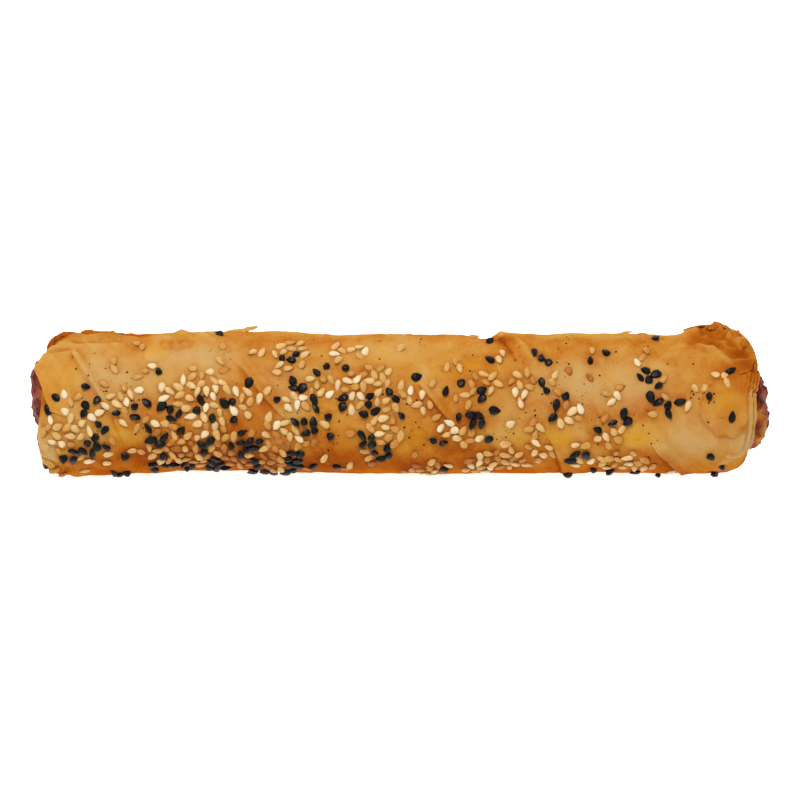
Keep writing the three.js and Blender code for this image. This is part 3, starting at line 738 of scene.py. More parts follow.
def tube_faces(rows, columns, copies):
    """The faces of closed tubes of rings, one after the other, with one more over both ends of each."""
    corners, sizes = grid_faces(rows, columns)
    first = np.arange(columns)[::-1]
    last = np.arange(columns) + (rows - 1) * columns
    corners = np.concatenate([corners, first, last]) + rows * columns * np.arange(copies)[:, None]
    return corners.reshape(-1), np.tile(np.append(sizes, [columns, columns]), copies)


def new_piece(name, points, faces, material, slot, smooth=True, **shades):
    """A mesh object from points in millimetres, with one number a point for each named shade."""
    places = np.ascontiguousarray(points.reshape(-1, 3) * MM, np.float32)
    corners, sizes = faces
    mesh = bpy.data.meshes.new(name)
    mesh.vertices.add(len(places))
    mesh.vertices.foreach_set("co", places.reshape(-1))
    mesh.loops.add(len(corners))
    mesh.loops.foreach_set("vertex_index", corners.astype(np.int32))
    mesh.polygons.add(len(sizes))
    mesh.polygons.foreach_set("loop_start", (np.cumsum(sizes) - sizes).astype(np.int32))
    mesh.update(calc_edges=True)
    mesh.polygons.foreach_set("use_smooth", np.full(len(sizes), smooth))
    for shade, values in shades.items():
        attribute = mesh.attributes.new(shade, "FLOAT", "POINT")
        attribute.data.foreach_set("value", np.ascontiguousarray(values.reshape(-1), np.float32))
    mesh.materials.append(material)
    piece = bpy.data.objects.new(name, mesh)
    bpy.context.scene.collection.objects.link(piece)
    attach(piece, "root")
    return piece


def tube_piece(name, points, material, slot, smooth=True, **shades):
    """A piece of closed tubes of rings, from points by copy, if it has copies, by ring and by side."""
    rows, columns = points.shape[-3:-1]
    faces = tube_faces(rows, columns, points.size // (3 * rows * columns))
    return new_piece(name, points, faces, material, slot, smooth, **shades)


def grid_normals(points):
    """Unit normals of a grid closed both ways: the cross product of its central differences."""
    down = np.roll(points, -1, 0) - np.roll(points, 1, 0)
    across = np.roll(points, -1, 1) - np.roll(points, 1, 1)
    normal = np.cross(across, down)
    return normal / np.maximum(np.linalg.norm(normal, axis=-1, keepdims=True), 1e-9)


def ring(sides):
    """Angles once round a section."""
    return np.linspace(0, 2 * math.pi, sides, endpoint=False)


def wall_stations():
    """Places along the roll and their shares of the wall: from end to end, and back through the bore."""
    reach = np.sin(np.linspace(0, math.pi / 2, SHOULDER_STATIONS))[1:]
    left = BARREL_START - LEFT["shoulder"] * reach[::-1]
    barrel = np.linspace(BARREL_START, BARREL_END, BARREL_STATIONS)
    right = BARREL_END + RIGHT["shoulder"] * reach
    bore = np.linspace(RIGHT["rim"], LEFT["rim"], BORE_STATIONS + 2)[1:-1]
    share = [shoulder_share(reach[::-1]), 0 * barrel + 1, shoulder_share(reach), 0 * bore]
    return np.concatenate([left, barrel, right, bore])[:, None], np.concatenate(share)[:, None]


def make_crust(material, seeds):
    """The pastry's wall: a closed hoop of stations by turns, which lie closer together towards the top.

    The relief pushes the crust out along its normals, and noise bends the mouths of the bore.
    """
    station, share = wall_stations()
    even = ring(CRUST_TURNS)[None, :] - math.pi
    turn = even - TOP_CROWDING * np.sin(even)
    along = station + wall_shift(station, turn)
    mouth = uneven("mouth_bends", edge_place(turn, 0) + np.sign(along)[..., None]) * (1 - share)
    base = pastry_point(along, turn, share, winding_height(along, turn) * (share > 0) + mouth)
    off_floor = smooth_step(0.2, 1.5, base[..., 2])
    relief = crust_relief(along, turn) * smooth_step(0, 0.5, share) * off_floor
    points = base + grid_normals(base) * relief[..., None]
    points[..., 2] = np.maximum(points[..., 2], 0)
    pooled = glaze_pooling(points.reshape(-1, 3), seeds).reshape(relief.shape)
    faces = grid_faces(*points.shape[:2], close_rows=True)
    piece = new_piece("pastry_crust", points, faces, material, "pastry",
                      **pastry_shades(along, turn, relief, glaze=pooled))
    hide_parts("pastry_roll")


def sheet_section(length):
    """The section of a sheet's edge: distances past its nose and half-thicknesses, above and then below."""
    loop = ring(SHEET_SIDES)[None, :]
    past = length * (0.5 - 0.5 * np.cos(loop)) ** 1.6
    rounding = np.minimum(1, 3.2 * np.sqrt(past / length))
    return past, 0.5 * SHEET_THICKNESS * np.sin(loop) * rounding


def ragged_edge(turn, salt):
    """A ragged line along an edge: coarse and fine noise by the distance round the roll."""
    place = edge_place(turn, salt)
    return uneven("rags", place) + uneven("small_rags", place)


def sheet_piece(name, along, turn, share, height, material, baking, pallor):
    """A sheet of pastry as a closed tube of sections, one a row."""
    points = pastry_point(along, turn, share, height)
    tube_piece(name, points, material, "pastry",
               **pastry_shades(along, turn, crust_relief(along, turn), baking, pallor))


def make_flap_lip(material):
    """The loose edge of the front flap: a thin section with a round nose, carried along its lap.

    The section lies on the winding, comes down to it at its tail, and dips at both ends of the edge.
    """
    lap, lip = LAPS[-1], FLAP_LIP
    start, end = np.radians(lap.start), np.radians(lap.end)
    turn = np.linspace(start, end, LIP_ROWS)[:, None]
    past, half = sheet_section(lip["length"])
    fade = np.minimum(1, 5 * np.sin(np.pi * (turn - start) / (end - start)))
    along = lap_edge(lap, turn) - lip["overhang"] + lip["ragged"] * ragged_edge(turn, lap.along) + past
    sunk = lip["sinking"] * (past / lip["length"]) ** 1.5 + lip["dip"] * (1 - fade)
    over = lap_height(lap, turn, past / lap.width) - sunk
    height = np.where(half < 0, over - lip["depth"], over + 0.05 + half * (0.3 + 0.7 * fade))
    height = height + crust_relief(along, turn)
    sheet_piece("front_flap_lip", along, turn, wall_share(along, turn), height, material, -0.04, 0.1)


def make_sheet(name, sheet, material):
    """A loose sheet: a thin section carried along its edge, proud at its nose and sunk at its tail.

    Its nose draws back to its tail at both ends of the edge.
    """
    edge = np.array(sheet["edge"])
    degrees = np.linspace(edge[0, 0], edge[-1, 0], SHEET_ROWS)[:, None]
    turn = np.radians(degrees)
    length = sheet["length"]
    past, half = sheet_section(length)
    shows = np.clip(3 * np.sin(np.linspace(0, math.pi, SHEET_ROWS)), 0.05, 1)[:, None]
    past = length - (length - past) * shows
    nose = np.interp(degrees, edge[:, 0], edge[:, 1]) + sheet["ragged"] * ragged_edge(turn, edge[0, 1])
    along = nose + sheet["side"] * past
    lift = sheet["lift"] - (sheet["lift"] + SHEET_SINKING) * (past / length) ** 1.5
    outwards = sheet["side"] * half
    height = surface_height(along, turn) + lift + np.where(outwards < 0, sheet["depth"], 1) * outwards
    share = np.maximum(wall_share(along, turn), sheet["hold"])
    sheet_piece(name, along, turn, share, height, material, sheet["baking"], sheet["pallor"])


def make_sheet_stack(material):
    """The ends of stacked sheets: loose sheets, each further out and lower on the rounded shoulder."""
    for layer in range(STACK_LAYERS):
        nose = STACK_FIRST + STACK_STEP * layer
        edge = [(-28 + 3 * layer, nose - 2), (-14, nose), (-8, nose + 0.3), (2, nose), (9, nose - 0.4),
                (20 - 2 * layer, nose - 2.4)]
        hold = STACK_HOLD - STACK_HOLD_STEP * layer
        make_sheet(f"stacked_sheet_{layer}", dict(STACKED_SHEET, edge=edge, hold=hold), material)


def make_flakes(material):
    """Loose flakes: strips along their headings, wide and fast at the root, thin and lifted at the tip."""
    middle, at_turn, heading, length, width, lift = FLAKES.T[:, :, None, None]
    number = np.arange(len(FLAKES))[:, None, None]
    reach = np.linspace(0, 1, FLAKE_ROWS)[None, :, None]
    loop = ring(FLAKE_SIDES)[None, None, :]
    ragged = 1 + 0.3 * np.sin(9 * reach + 2.2 * number) + 0.12 * np.sin(31 * reach + number)
    aside = 0.5 * width * (1 - 0.8 * reach ** 1.5) * ragged * np.cos(loop)
    forward = length * reach
    cosine, sine = np.cos(np.radians(heading)), np.sin(np.radians(heading))
    along = middle + forward * cosine - aside * sine
    turn = np.radians(at_turn) + (forward * sine + aside * cosine) / MEAN_RADIUS
    curl = 0.25 * np.sin(5 * reach + number) * (aside / width) - 0.6 * aside * (0.5 + 0.5 * reach)
    height = lift * reach - 0.5 * (1 - reach) + curl + 0.5 * SHEET_THICKNESS * np.sin(loop)
    tube_piece("loose_flakes", on_pastry(along, turn, height), material, "pastry",
               **pastry_shades(along, turn, 0, 0.15 * reach - 0.25, 0.2))


def make_end_layers(name, end, material):
    """The ends of the sheets round the filling: a thin upright section carried along a widening spiral.

    It stands on the shoulder, whose superellipse reads the same both ways, and is rooted below it.
    """
    travel = np.linspace(0, 2 * math.pi * end["layers"], LAYER_ROWS)[:, None]
    loop = ring(LAYER_SIDES)[None, :]
    turn = turn_between(0, travel + SPIRAL_START)
    place = np.stack([travel * SPIRAL_RADIUS, 0 * travel, 0 * travel + end["rim"]], -1)
    done = travel / travel[-1]
    share = INNERMOST_LAYER + (OUTERMOST_LAYER - INNERMOST_LAYER) * done + uneven("layer_drift", place)
    shoulder = end["rim"] + end["outward"] * end["shoulder"] * (shoulder_share(share) - 1)
    fade = np.minimum(1, 8 * np.sin(np.pi * done))
    stands = end["proud"] * (1 + uneven("layer_rise", place) + uneven("small_layer_rise", place)) * fade
    outward = -LAYER_ROOT + (LAYER_ROOT + stands) * np.cos(loop)
    along = shoulder + rim_shift(end, turn) + end["outward"] * outward
    flare = uneven("layer_flare", place) * np.maximum(0, outward)
    points = pastry_point(along, turn, share, flare + 0.5 * SHEET_THICKNESS * np.sin(loop))
    tube_piece(name, points, material, "pastry",
               **pastry_shades(along, turn, 0, uneven("layer_baking", place) - 0.2 * outward))


def set_down(local, place, axes):
    """The points of many copies of a shape, each turned to its three axes and set at its place."""
    return place[:, None] + sum(local[..., k:k + 1] * axis[:, None] for k, axis in enumerate(axes))


def make_scales(material):
    """Scales and crumbs of crust: small balls stretched to their sizes, lumpy by noise, half sunk."""
    climb = np.linspace(0.06, math.pi - 0.06, SCALE_ROWS)[:, None]
    side = ring(SCALE_SIDES)[None, :]
    girth = np.sin(climb)
    ball = np.stack([girth * np.cos(side), -np.cos(climb) + 0 * side, girth * np.sin(side)], -1)
    along, turn, heading, length, breadth, height, baking, held = SCALES.T
    turn = np.radians(turn)
    share = np.maximum(wall_share(along, turn), held)
    place = pastry_point(along, turn, share, surface_height(along, turn))
    local = ball.reshape(1, -1, 3) * np.stack([breadth, length, height], -1)[:, None]
    lumps = uneven("scale_lumps", local * 1.3 + place[:, None])
    lumps += uneven("scale_grains", local + place[:, None])
    points = set_down(local * (1 + lumps[..., None]), place, seed_frames(along, turn, np.radians(heading)))
    points[..., 2] = np.maximum(points[..., 2], 0.05)
    points = points.reshape(-1, SCALE_ROWS, SCALE_SIDES, 3)
    # Raised lumps paler and sunken ones darker: painted light and shade on the lumps
    tube_piece("crust_scales", points, material, "pastry", bake=baking[:, None] - 0.35 * lumps)


def dome_place(end, beyond, across, turn):
    """How far along the filling's dome reaches: a share of its swell past the rim, with three low lumps."""
    lump = FILLING_LUMP * beyond * across * np.sin(3 * turn + end["swell"])
    return end["rim"] + end["outward"] * ((end["swell"] + DOME_ROOT) * beyond - DOME_ROOT + lump)


def make_filling(material):
    """The filling: a core with a dome at each end, pushed out along its normals by lumps where it shows.

    Lumps are charred darker, and the right end is furrowed and has a bare band below its middle.
    """
    dome = np.sin(np.linspace(0, math.pi / 2, DOME_RINGS + 1))[1:]
    beyond = np.concatenate([dome[::-1], np.zeros(CORE_RINGS), dome])[:, None]
    across = (1 - beyond ** DOME_FULLNESS) ** (1 / DOME_FULLNESS)
    to_right = np.concatenate([0 * dome, np.linspace(0, 1, CORE_RINGS), 0 * dome + 1])[:, None]
    turn = ring(FILLING_SIDES)[None, :]
    ends = [dome_place(end, beyond, across, turn) for end in (LEFT, RIGHT)]
    along = ends[0] * (1 - to_right) + ends[1] * to_right
    radius = (FILLING_RADIUS + FILLING_GAP * smooth_step(0.1, 0.3, beyond)) * across
    aside = filling_offset(along) - radius * np.sin(turn)
    base = np.stack([along, aside, AXIS_HEIGHT + radius * np.cos(turn)], -1)
    furrows = FURROW_DEPTH * np.sin(FURROW_PITCH * aside + uneven("furrow_bends", base)) * to_right
    crumbs = uneven("filling_crumbs", base) + uneven("filling_grains", base)
    lumps = uneven("filling_lumps", base) + crumbs + furrows
    normal = grid_normals(base)
    normal[0], normal[-1] = (-1, 0, 0), (1, 0, 0)
    points = base + normal * ((lumps - LUMPS_SUNK) * smooth_step(0.12, 0.45, beyond))[..., None]
    lower = radius * np.sin(turn - math.radians(25))
    band = smooth_step(-4, 1, lower) * smooth_step(9.5, 7, lower) * smooth_step(1, 0.7, beyond)
    bare = 0.85 * to_right * band * smooth_step(-0.9, -0.1, uneven("bare_patches", base))
    char = 0.54 + 0.08 * to_right + 0.3 * lumps + uneven("filling_char", base) - bare
    piece = tube_piece("baked_filling", points, material, "filling", char=char)
    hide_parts("filling")


def single_drifts(places):
    """Single seeds as drifts of no size that hold one seed each."""
    return np.column_stack([places, np.zeros(places.shape), np.ones(len(places))])


def fallen_seeds():
    """Where the seeds lie: singly, or drawn evenly inside oval drifts, then pushed apart in rounds.

    Gives each seed's place along the roll, its turn, its yaw, and whether it is nigella.
    """
    sesame = np.concatenate([single_drifts(SESAME_SEEDS), SESAME_DRIFTS])
    drifts = np.concatenate([sesame, single_drifts(NIGELLA_SEEDS), NIGELLA_DRIFTS])
    drift = np.repeat(np.arange(len(drifts)), drifts[:, 4].astype(int))
    black = drift >= len(sesame)
    index = np.arange(len(drift))
    reach = np.sqrt(chance(index, 1))
    direction = 2 * math.pi * chance(index, 2)
    middle, at_turn, length, breadth = drifts[drift, :4].T
    along = middle + length * reach * np.cos(direction)
    round_it = MEAN_RADIUS * np.radians(at_turn + breadth * reach * np.sin(direction))
    place = np.stack([along, round_it], -1)
    for _ in range(SPREADING_ROUNDS):
        away = place[:, None] - place[None, :]
        apart = np.linalg.norm(away, axis=-1)
        crowd = (apart < SEED_SPACING) & (apart > 0)
        share = np.where(crowd, 0.5 * (SEED_SPACING - apart) / np.maximum(apart, 1e-6), 0)
        place = place + (away * share[..., None]).sum(axis=1)
    return place[:, 0], place[:, 1] / MEAN_RADIUS, 2 * math.pi * chance(index, 3), black


def seed_frames(along, turn, yaw):
    """The three axes of seeds lying on the pastry: across, lengthways by the yaw, and out of the crust."""
    near = 0.5
    step = near / MEAN_RADIUS
    lengthways = on_pastry(along + near, turn, 0) - on_pastry(along - near, turn, 0)
    round_it = on_pastry(along, turn + step, 0) - on_pastry(along, turn - step, 0)
    lengthways /= np.linalg.norm(lengthways, axis=-1, keepdims=True)
    out = np.cross(round_it, lengthways)
    out /= np.linalg.norm(out, axis=-1, keepdims=True)
    beside = np.cross(out, lengthways)
    pointing = lengthways * np.cos(yaw)[:, None] + beside * np.sin(yaw)[:, None]
    return np.cross(pointing, out), pointing, out


def leaning(axes, index):
    """The axes of seeds that do not lie quite flat: tipped along their length and rolled about it."""
    across, pointing, out = axes
    tip, roll = (SEED_LEAN * (chance(index, use) - 0.5)[:, None] for use in (9, 10))
    pointing, out = pointing * np.cos(tip) + out * np.sin(tip), out * np.cos(tip) - pointing * np.sin(tip)
    across, out = across * np.cos(roll) + out * np.sin(roll), out * np.cos(roll) - across * np.sin(roll)
    return across, pointing, out


def seed_shape(kind):
    """A seed of rings: its girth a rounded bow, thinning from a blunt end to a point, with soft corners."""
    travel = np.linspace(0.015, 0.985, kind["rings"])[:, None]
    side = ring(kind["sides"])[None, :]
    bow = (1 - np.abs(2 * travel - 1) ** 2.2) ** 0.6
    girth = bow * (1 + kind["point"] * (0.45 - travel)) * (1 + kind["corners"] * np.cos(3 * side + 0.7))
    across = 0.5 * kind["width"] * girth * np.cos(side)
    out = 0.5 * kind["thickness"] * girth * np.sin(side)
    lengthways = kind["length"] * (travel - 0.5) + 0 * side
    return np.stack([across, lengthways, out], -1).reshape(-1, 3)


def seed_sizes(index, spread):
    """How much wider, longer and thicker than usual each seed is, the three drawn apart."""
    return 1 + spread * (np.stack([chance(index, use) for use in (6, 7, 8)], -1) - 0.5)


def scatter(name, kind, sizes, place, axes, material, toast):
    """One mesh of many seeds of a kind: each scaled, turned to its axes and set at its place."""
    points = set_down(seed_shape(kind)[None] * sizes[:, None], place, axes)
    points = points.reshape(-1, kind["rings"], kind["sides"], 3)
    tube_piece(name, points, material, kind["slot"], kind["smooth"], toast=toast)


def make_seeds(fallen, sesame, nigella):
    """All seeds as they fell, a little sunk in the glaze: a mesh for each kind, with its sizes and shades.

    Each seed is browner at its point and, by glaze and painted shade, where it meets the crust; toasted
    sesame sinks deeper.
    """
    along, turn, yaw, black = fallen
    keep = (along > FIRST_SEED) & (along < LAST_SEED)
    index = np.arange(len(along))
    # Toast by seed, darker low on the front by toasting and painted shade
    toast = np.clip(chance(index, 5) ** 0.75 + patches(TOASTING_AND_SHADE, along, turn), 0, 1.2)
    for kind, these, finish in ((SESAME, keep & ~black, sesame), (NIGELLA, keep & black, nigella)):
        axes = seed_frames(along[these], turn[these], yaw[these])
        rise = kind["thickness"] * (SEED_RISE - kind["toasted_sinking"] * np.minimum(toast[these], 1) ** 2)
        place = on_pastry(along[these], turn[these], 0) + axes[2] * rise[:, None]
        _, lengthways, out = seed_shape(kind).T
        tip = 0.25 * smooth_step(0.2, 0.5, lengthways / kind["length"])
        # Darker at the foot: glaze, and painted shade where the seed meets the crust
        foot_shade = 0.12 * smooth_step(0.2, -0.2, out / kind["thickness"])
        scatter(f"{kind['slot']}_seeds", kind, seed_sizes(index[these], kind["spread"]), place,
                leaning(axes, index[these]), finish, 0.8 * toast[these][:, None] + tip + foot_shade)


def make_specks(material):
    """Burnt specks and seed dust: tiny blobs strewn over the top in groups, closer in their middles."""
    index = np.arange(SPECKS)
    group = index // SPECKS_TOGETHER
    field = SPECK_FIELD
    aside = field["group_length"] * (chance(index, 33) + chance(index, 39) - 1)
    round_it = field["group_turns"] * (chance(index, 35) + chance(index, 40) - 1)
    along = BARREL_START + field["length"] * chance(group, 32) + aside
    turn = np.radians(field["first_turn"] + field["turns"] * chance(group, 34) + round_it)
    axes = seed_frames(along, turn, 2 * math.pi * chance(index, 36))
    sizes = (0.3 + 0.75 * chance(index, 37) ** 3)[:, None] * np.ones(3)
    toast = np.repeat(chance(index, 38), SPECK["rings"] * SPECK["sides"])
    scatter("dark_specks", SPECK, sizes, on_pastry(along, turn, 0.04), axes, material, toast)


def srgb(red, green, blue):
    """A screen colour, 0 to 255, as the light that it stands for."""
    value = np.array([red, green, blue]) / 255
    linear = np.where(value <= 0.04045, value / 12.92, ((value + 0.055) / 1.055) ** 2.4)
    return (*linear.tolist(), 1.0)


def set_inputs(node, **values):
    """A node's sockets set to plain values, by their names with low lines for spaces."""
    for name, value in values.items():
        node.inputs[name.replace("_", " ")].default_value = value


def noise_node(nodes, links, coordinates, scale, detail=3, output="Fac"):
    """A noise of so many waves a metre."""
    node = nodes.new("ShaderNodeTexNoise")
    set_inputs(node, Scale=scale, Detail=detail)
    links.new(coordinates, node.inputs["Vector"])
    return node.outputs[output]


def math_node(nodes, links, operation, first, second):
    """Two values, each a number or a socket, put together."""
    node = nodes.new("ShaderNodeMath")
    node.operation = operation
    for socket, value in zip(node.inputs, (first, second)):
        if isinstance(value, (int, float)):
            socket.default_value = value
        else:
            links.new(value, socket)
    return node.outputs["Value"]


def freckles_node(nodes, links, place):
    """Freckles: the peaks of a fine noise."""
    node = nodes.new("ShaderNodeMapRange")
    node.interpolation_type = "SMOOTHSTEP"
    set_inputs(node, From_Min=0.62, From_Max=0.76, To_Min=0.5, To_Max=1.5)
    links.new(noise_node(nodes, links, place, 620, 2), node.inputs["Value"])
    return node.outputs["Result"]


def sheets_node(nodes, links, place):
    """A shade for each patch of sheet: cells whose borders are bent by a noise."""
    bend = nodes.new("ShaderNodeVectorMath")
    bend.operation = "MULTIPLY_ADD"
    bend.inputs[1].default_value = (0.012, 0.012, 0.012)
    links.new(noise_node(nodes, links, place, 130, 2, "Color"), bend.inputs[0])
    links.new(place, bend.inputs[2])
    cells = nodes.new("ShaderNodeTexVoronoi")
    set_inputs(cells, Scale=85)
    links.new(bend.outputs["Vector"], cells.inputs["Vector"])
    parted = nodes.new("ShaderNodeSeparateColor")
    links.new(cells.outputs["Color"], parted.inputs["Color"])
    return parted.outputs["Red"]


def mottle_group():
    """Uneven baking: broad, middling and fine noise, freckles and a shade for each sheet, by their weights.

    It also gives a grain for small relief.
    """
    group = bpy.data.node_groups.new("uneven_baking", "ShaderNodeTree")
    for name in ("Broad", "Middling", "Fine", "Freckles", "Sheets"):
        group.interface.new_socket(name=name, in_out="INPUT", socket_type="NodeSocketFloat")
    for name in ("Mottle", "Grain"):
        group.interface.new_socket(name=name, in_out="OUTPUT", socket_type="NodeSocketFloat")
    nodes, links = group.nodes, group.links
    given, result = nodes.new("NodeGroupInput"), nodes.new("NodeGroupOutput")
    place = nodes.new("ShaderNodeTexCoord").outputs["Object"]
    parts = {"Broad": noise_node(nodes, links, place, 90),
             "Middling": noise_node(nodes, links, place, 270),
             "Fine": noise_node(nodes, links, place, 1100),
             "Freckles": freckles_node(nodes, links, place),
             "Sheets": sheets_node(nodes, links, place)}
    total = 0.0
    for name, part in parts.items():
        centred = math_node(nodes, links, "SUBTRACT", part, 0.5)
        weighted = math_node(nodes, links, "MULTIPLY", centred, given.outputs[name])
        total = math_node(nodes, links, "ADD", weighted, total)
    links.new(total, result.inputs["Mottle"])
    links.new(noise_node(nodes, links, place, 1900), result.inputs["Grain"])
    return group


class Finish:
    """A material with its Principled shader, its uneven baking and a few helpers to wire them."""

    def __init__(self, name, mottle, **weights):
        """A new material, with these weights of uneven baking and 0 for the others."""
        self.material = bpy.data.materials.new(name)
        self.material.use_nodes = True
        self.nodes, self.links = self.material.node_tree.nodes, self.material.node_tree.links
        self.shader = self.nodes["Principled BSDF"]
        baking = self.nodes.new("ShaderNodeGroup")
        baking.node_tree = mottle
        for weight in baking.inputs:
            weight.default_value = weights.get(weight.name.lower(), 0)
        self.mottle, self.grain = baking.outputs["Mottle"], baking.outputs["Grain"]

    def shade(self, name):
        """The number that the mesh holds for each point under a name."""
        node = self.nodes.new("ShaderNodeAttribute")
        node.attribute_name = name
        return node.outputs["Fac"]

    def math(self, operation, first, second):
        """Two values put together."""
        return math_node(self.nodes, self.links, operation, first, second)

    def ramp(self, value, *stops):
        """A colour by a value, blended between stops of a place and a screen colour."""
        node = self.nodes.new("ShaderNodeValToRGB")
        elements = node.color_ramp.elements
        while len(elements) < len(stops):
            elements.new(0.5)
        for element, (place, *colour) in zip(elements, stops):
            element.position, element.color = place, srgb(*colour)
        self.links.new(value, node.inputs["Fac"])
        return node.outputs["Color"]

    def blend(self, amount, first, second):
        """A colour that gives way to a plain screen colour by an amount."""
        node = self.nodes.new("ShaderNodeMix")
        node.data_type = "RGBA"
        self.links.new(amount, node.inputs["Factor"])
        self.links.new(first, node.inputs["A"])
        node.inputs["B"].default_value = srgb(*second)
        return node.outputs["Result"]

    def skin(self, colour, roughness, sway, specular):
        """The shader's colour, its roughness swayed by the uneven baking, and how much it mirrors."""
        self.links.new(colour, self.shader.inputs["Base Color"])
        swayed = self.math("ADD", self.math("MULTIPLY", self.mottle, sway), roughness)
        self.links.new(swayed, self.shader.inputs["Roughness"])
        set_inputs(self.shader, Specular_IOR_Level=specular)

    def glow_through(self, weight, radius, scale):
        """How much light passes through, how far by colour, and its depth in metres."""
        set_inputs(self.shader, Subsurface_Weight=weight, Subsurface_Radius=radius, Subsurface_Scale=scale)

    def bump(self, distance, strength):
        """Small relief by the grain, at so many metres from lowest to highest."""
        node = self.nodes.new("ShaderNodeBump")
        set_inputs(node, Distance=distance, Strength=strength)
        self.links.new(self.grain, node.inputs["Height"])
        self.links.new(node.outputs["Normal"], self.shader.inputs["Normal"])


def pastry_finish(mottle):
    """Glazed pastry: straw through gold and amber to brown by its baking and painted shade, milky or
    buttery in places.

    Glaze makes the baking more uneven, and its colour dusky with glaze and painted shade among the seeds.
    """
    finish = Finish("glazed_pastry", mottle, broad=0.55, middling=0.45, fine=0.26, freckles=0.14,
                    sheets=0.13)
    glaze = finish.shade("glaze")
    unevenness = finish.math("ADD", finish.math("MULTIPLY", glaze, 0.7), 0.8)
    bake = finish.math("ADD", finish.shade("bake"), finish.math("MULTIPLY", finish.mottle, unevenness))
    colour = finish.ramp(bake, (0.1, 175, 140, 82), (0.38, 170, 119, 51), (0.58, 162, 98, 30),
                         (0.8, 148, 75, 14), (1.0, 126, 57, 14))
    patchy = finish.math("SUBTRACT", 0.9, finish.math("MULTIPLY", finish.mottle, 1.6))
    butter = finish.math("MULTIPLY", finish.shade("butter"), patchy)
    milk = finish.math("MULTIPLY", finish.shade("pallor"), patchy)
    # A dark tint where seeds crowd: glaze, and painted shade among the seeds
    dusky_glaze_and_shade = finish.math("MULTIPLY", glaze, 0.24)
    for amount, tint in ((butter, (182, 131, 32)), (milk, (171, 137, 88)), (dusky_glaze_and_shade, (116, 80, 54))):
        colour = finish.blend(amount, colour, tint)
    finish.skin(colour, 0.42, 0.4, 0.0)
    finish.glow_through(0.08, (1.0, 0.4, 0.1), 0.0015)
    finish.bump(0.00014, 0.4)
    return finish.material


def sesame_finish(mottle):
    """Sesame: cream to toasted gold, seed by seed."""
    finish = Finish("toasted_sesame", mottle, middling=0.3, fine=0.4)
    toast = finish.math("ADD", finish.shade("toast"), finish.mottle)
    colour = finish.ramp(toast, (0.05, 206, 186, 152), (0.3, 194, 160, 106), (0.6, 180, 134, 68),
                         (0.85, 166, 106, 40), (1.0, 140, 78, 22))
    finish.skin(colour, 0.38, 0.4, 0.1)
    finish.glow_through(0.1, (1.0, 0.6, 0.3), 0.0008)
    finish.bump(0.00006, 0.3)
    return finish.material


def nigella_finish(mottle):
    """Nigella: black with a blue-grey bloom on its rough skin."""
    finish = Finish("black_nigella", mottle, middling=0.9, fine=0.9)
    bloom = finish.math("ADD", finish.math("MULTIPLY", finish.shade("toast"), 0.4), finish.mottle)
    finish.skin(finish.ramp(bloom, (0.0, 3, 2, 2), (0.6, 9, 7, 8), (1.0, 30, 27, 32)), 0.42, 0.3, 0.16)
    finish.bump(0.00012, 0.6)
    return finish.material


def filling_finish(mottle):
    """Baked filling: tan where it is bare, through red-brown to a burgundy char on its lumps."""
    finish = Finish("moist_filling", mottle, broad=0.3, middling=0.5, fine=0.8)
    char = finish.math("ADD", finish.shade("char"), finish.mottle)
    colour = finish.ramp(char, (0.15, 160, 102, 36), (0.4, 140, 72, 36), (0.65, 102, 42, 32),
                         (1.0, 50, 20, 20))
    finish.skin(colour, 0.42, 0.5, 0.02)
    finish.bump(0.0002, 0.5)
    return finish.material


def speck_finish(mottle):
    """Burnt specks: dark brown to near black."""
    finish = Finish("burnt_speck", mottle, middling=0.5, fine=0.5)
    shade = finish.math("ADD", finish.shade("toast"), finish.mottle)
    finish.skin(finish.ramp(shade, (0.0, 14, 8, 6), (0.7, 32, 17, 9), (1.0, 70, 36, 14)), 0.6, 0.3, 0.05)
    return finish.material


def make_floor():
    """A pale floor, flat and wide, that glows enough to lose its shadows."""
    mesh = bpy.data.meshes.new("floor")
    corners = [(x * FLOOR_REACH, y * FLOOR_REACH, 0) for x, y in ((-1, -1), (1, -1), (1, 1), (-1, 1))]
    mesh.from_pydata(corners, [], [(0, 1, 2, 3)])
    pale = bpy.data.materials.new("pale_floor")
    pale.use_nodes = True
    set_inputs(pale.node_tree.nodes["Principled BSDF"], Base_Color=srgb(248, 248, 248), Roughness=0.9,
               Emission_Color=(1, 1, 1, 1), Emission_Strength=FLOOR_GLOW)
    mesh.materials.append(pale)
    floor = bpy.data.objects.new("floor", mesh)
    bpy.context.scene.collection.objects.link(floor)


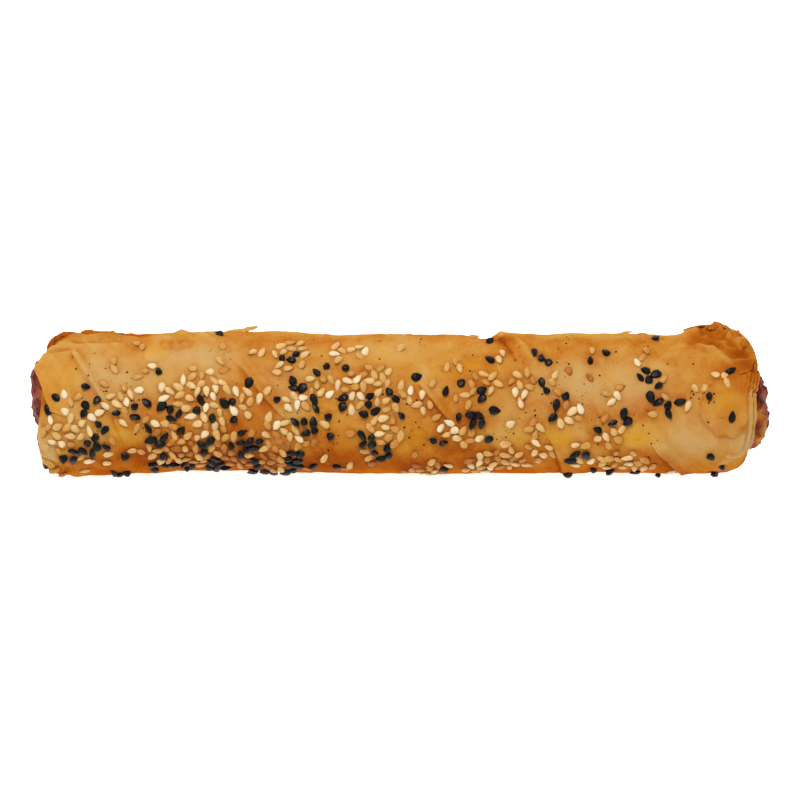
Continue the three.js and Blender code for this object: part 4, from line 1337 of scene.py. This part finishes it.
def aim(thing, place, direction):
    """A light or camera set at a place, turned to look in a direction."""
    thing.location = place
    thing.rotation_euler = direction.to_track_quat("-Z", "Y").to_euler()
    bpy.context.scene.collection.objects.link(thing)


def make_studio():
    """Round soft lights from above and, weaker, from the front, and a bright, even room."""
    world = bpy.data.worlds.new("bright_room")
    world.use_nodes = True
    set_inputs(world.node_tree.nodes["Background"], Color=(1, 1, 1, 1), Strength=ROOM_GLOW)
    bpy.context.scene.world = world
    for name, lamp in LIGHTS.items():
        light = bpy.data.lights.new(name, "AREA")
        light.shape = "DISK"
        light.size = lamp["size"]
        light.energy = lamp["power"]
        direction = Vector(LIGHT_AIM) - Vector(lamp["place"])
        aim(bpy.data.objects.new(name, light), lamp["place"], direction)
    bpy.context.scene.view_settings.view_transform = "Standard"
    bpy.context.scene.view_settings.look = "None"


def make_camera():
    """A long lens looking down steeply from the front, framed so that the roll fills its pixels."""
    target = Vector((0, 0, CAMERA_AIM_HEIGHT * MM))
    back = Vector((0, -math.cos(CAMERA_ELEVATION), math.sin(CAMERA_ELEVATION)))
    data = bpy.data.cameras.new("camera")
    data.sensor_width = 36
    data.lens = data.sensor_width * CAMERA_DISTANCE / (ROLL_LENGTH * MM * PICTURE_PIXELS / ROLL_PIXELS)
    camera = bpy.data.objects.new("camera", data)
    aim(camera, target + back * CAMERA_DISTANCE, -back)
    bpy.context.scene.camera = camera


def main():
    """All pieces, then the floor, the lights and the camera."""
    mottle = mottle_group()
    pastry = pastry_finish(mottle)
    fallen = fallen_seeds()
    make_crust(pastry, on_pastry(fallen[0], fallen[1], 0))
    make_flap_lip(pastry)
    for name, sheet in SHEETS.items():
        make_sheet(name, sheet, pastry)
    make_sheet_stack(pastry)
    make_flakes(pastry)
    make_scales(pastry)
    make_end_layers("left_end_layers", LEFT, pastry)
    make_end_layers("right_end_layers", RIGHT, pastry)
    make_filling(filling_finish(mottle))
    make_seeds(fallen, sesame_finish(mottle), nigella_finish(mottle))
    make_specks(speck_finish(mottle))
    make_floor()
    make_studio()
    make_camera()


main()
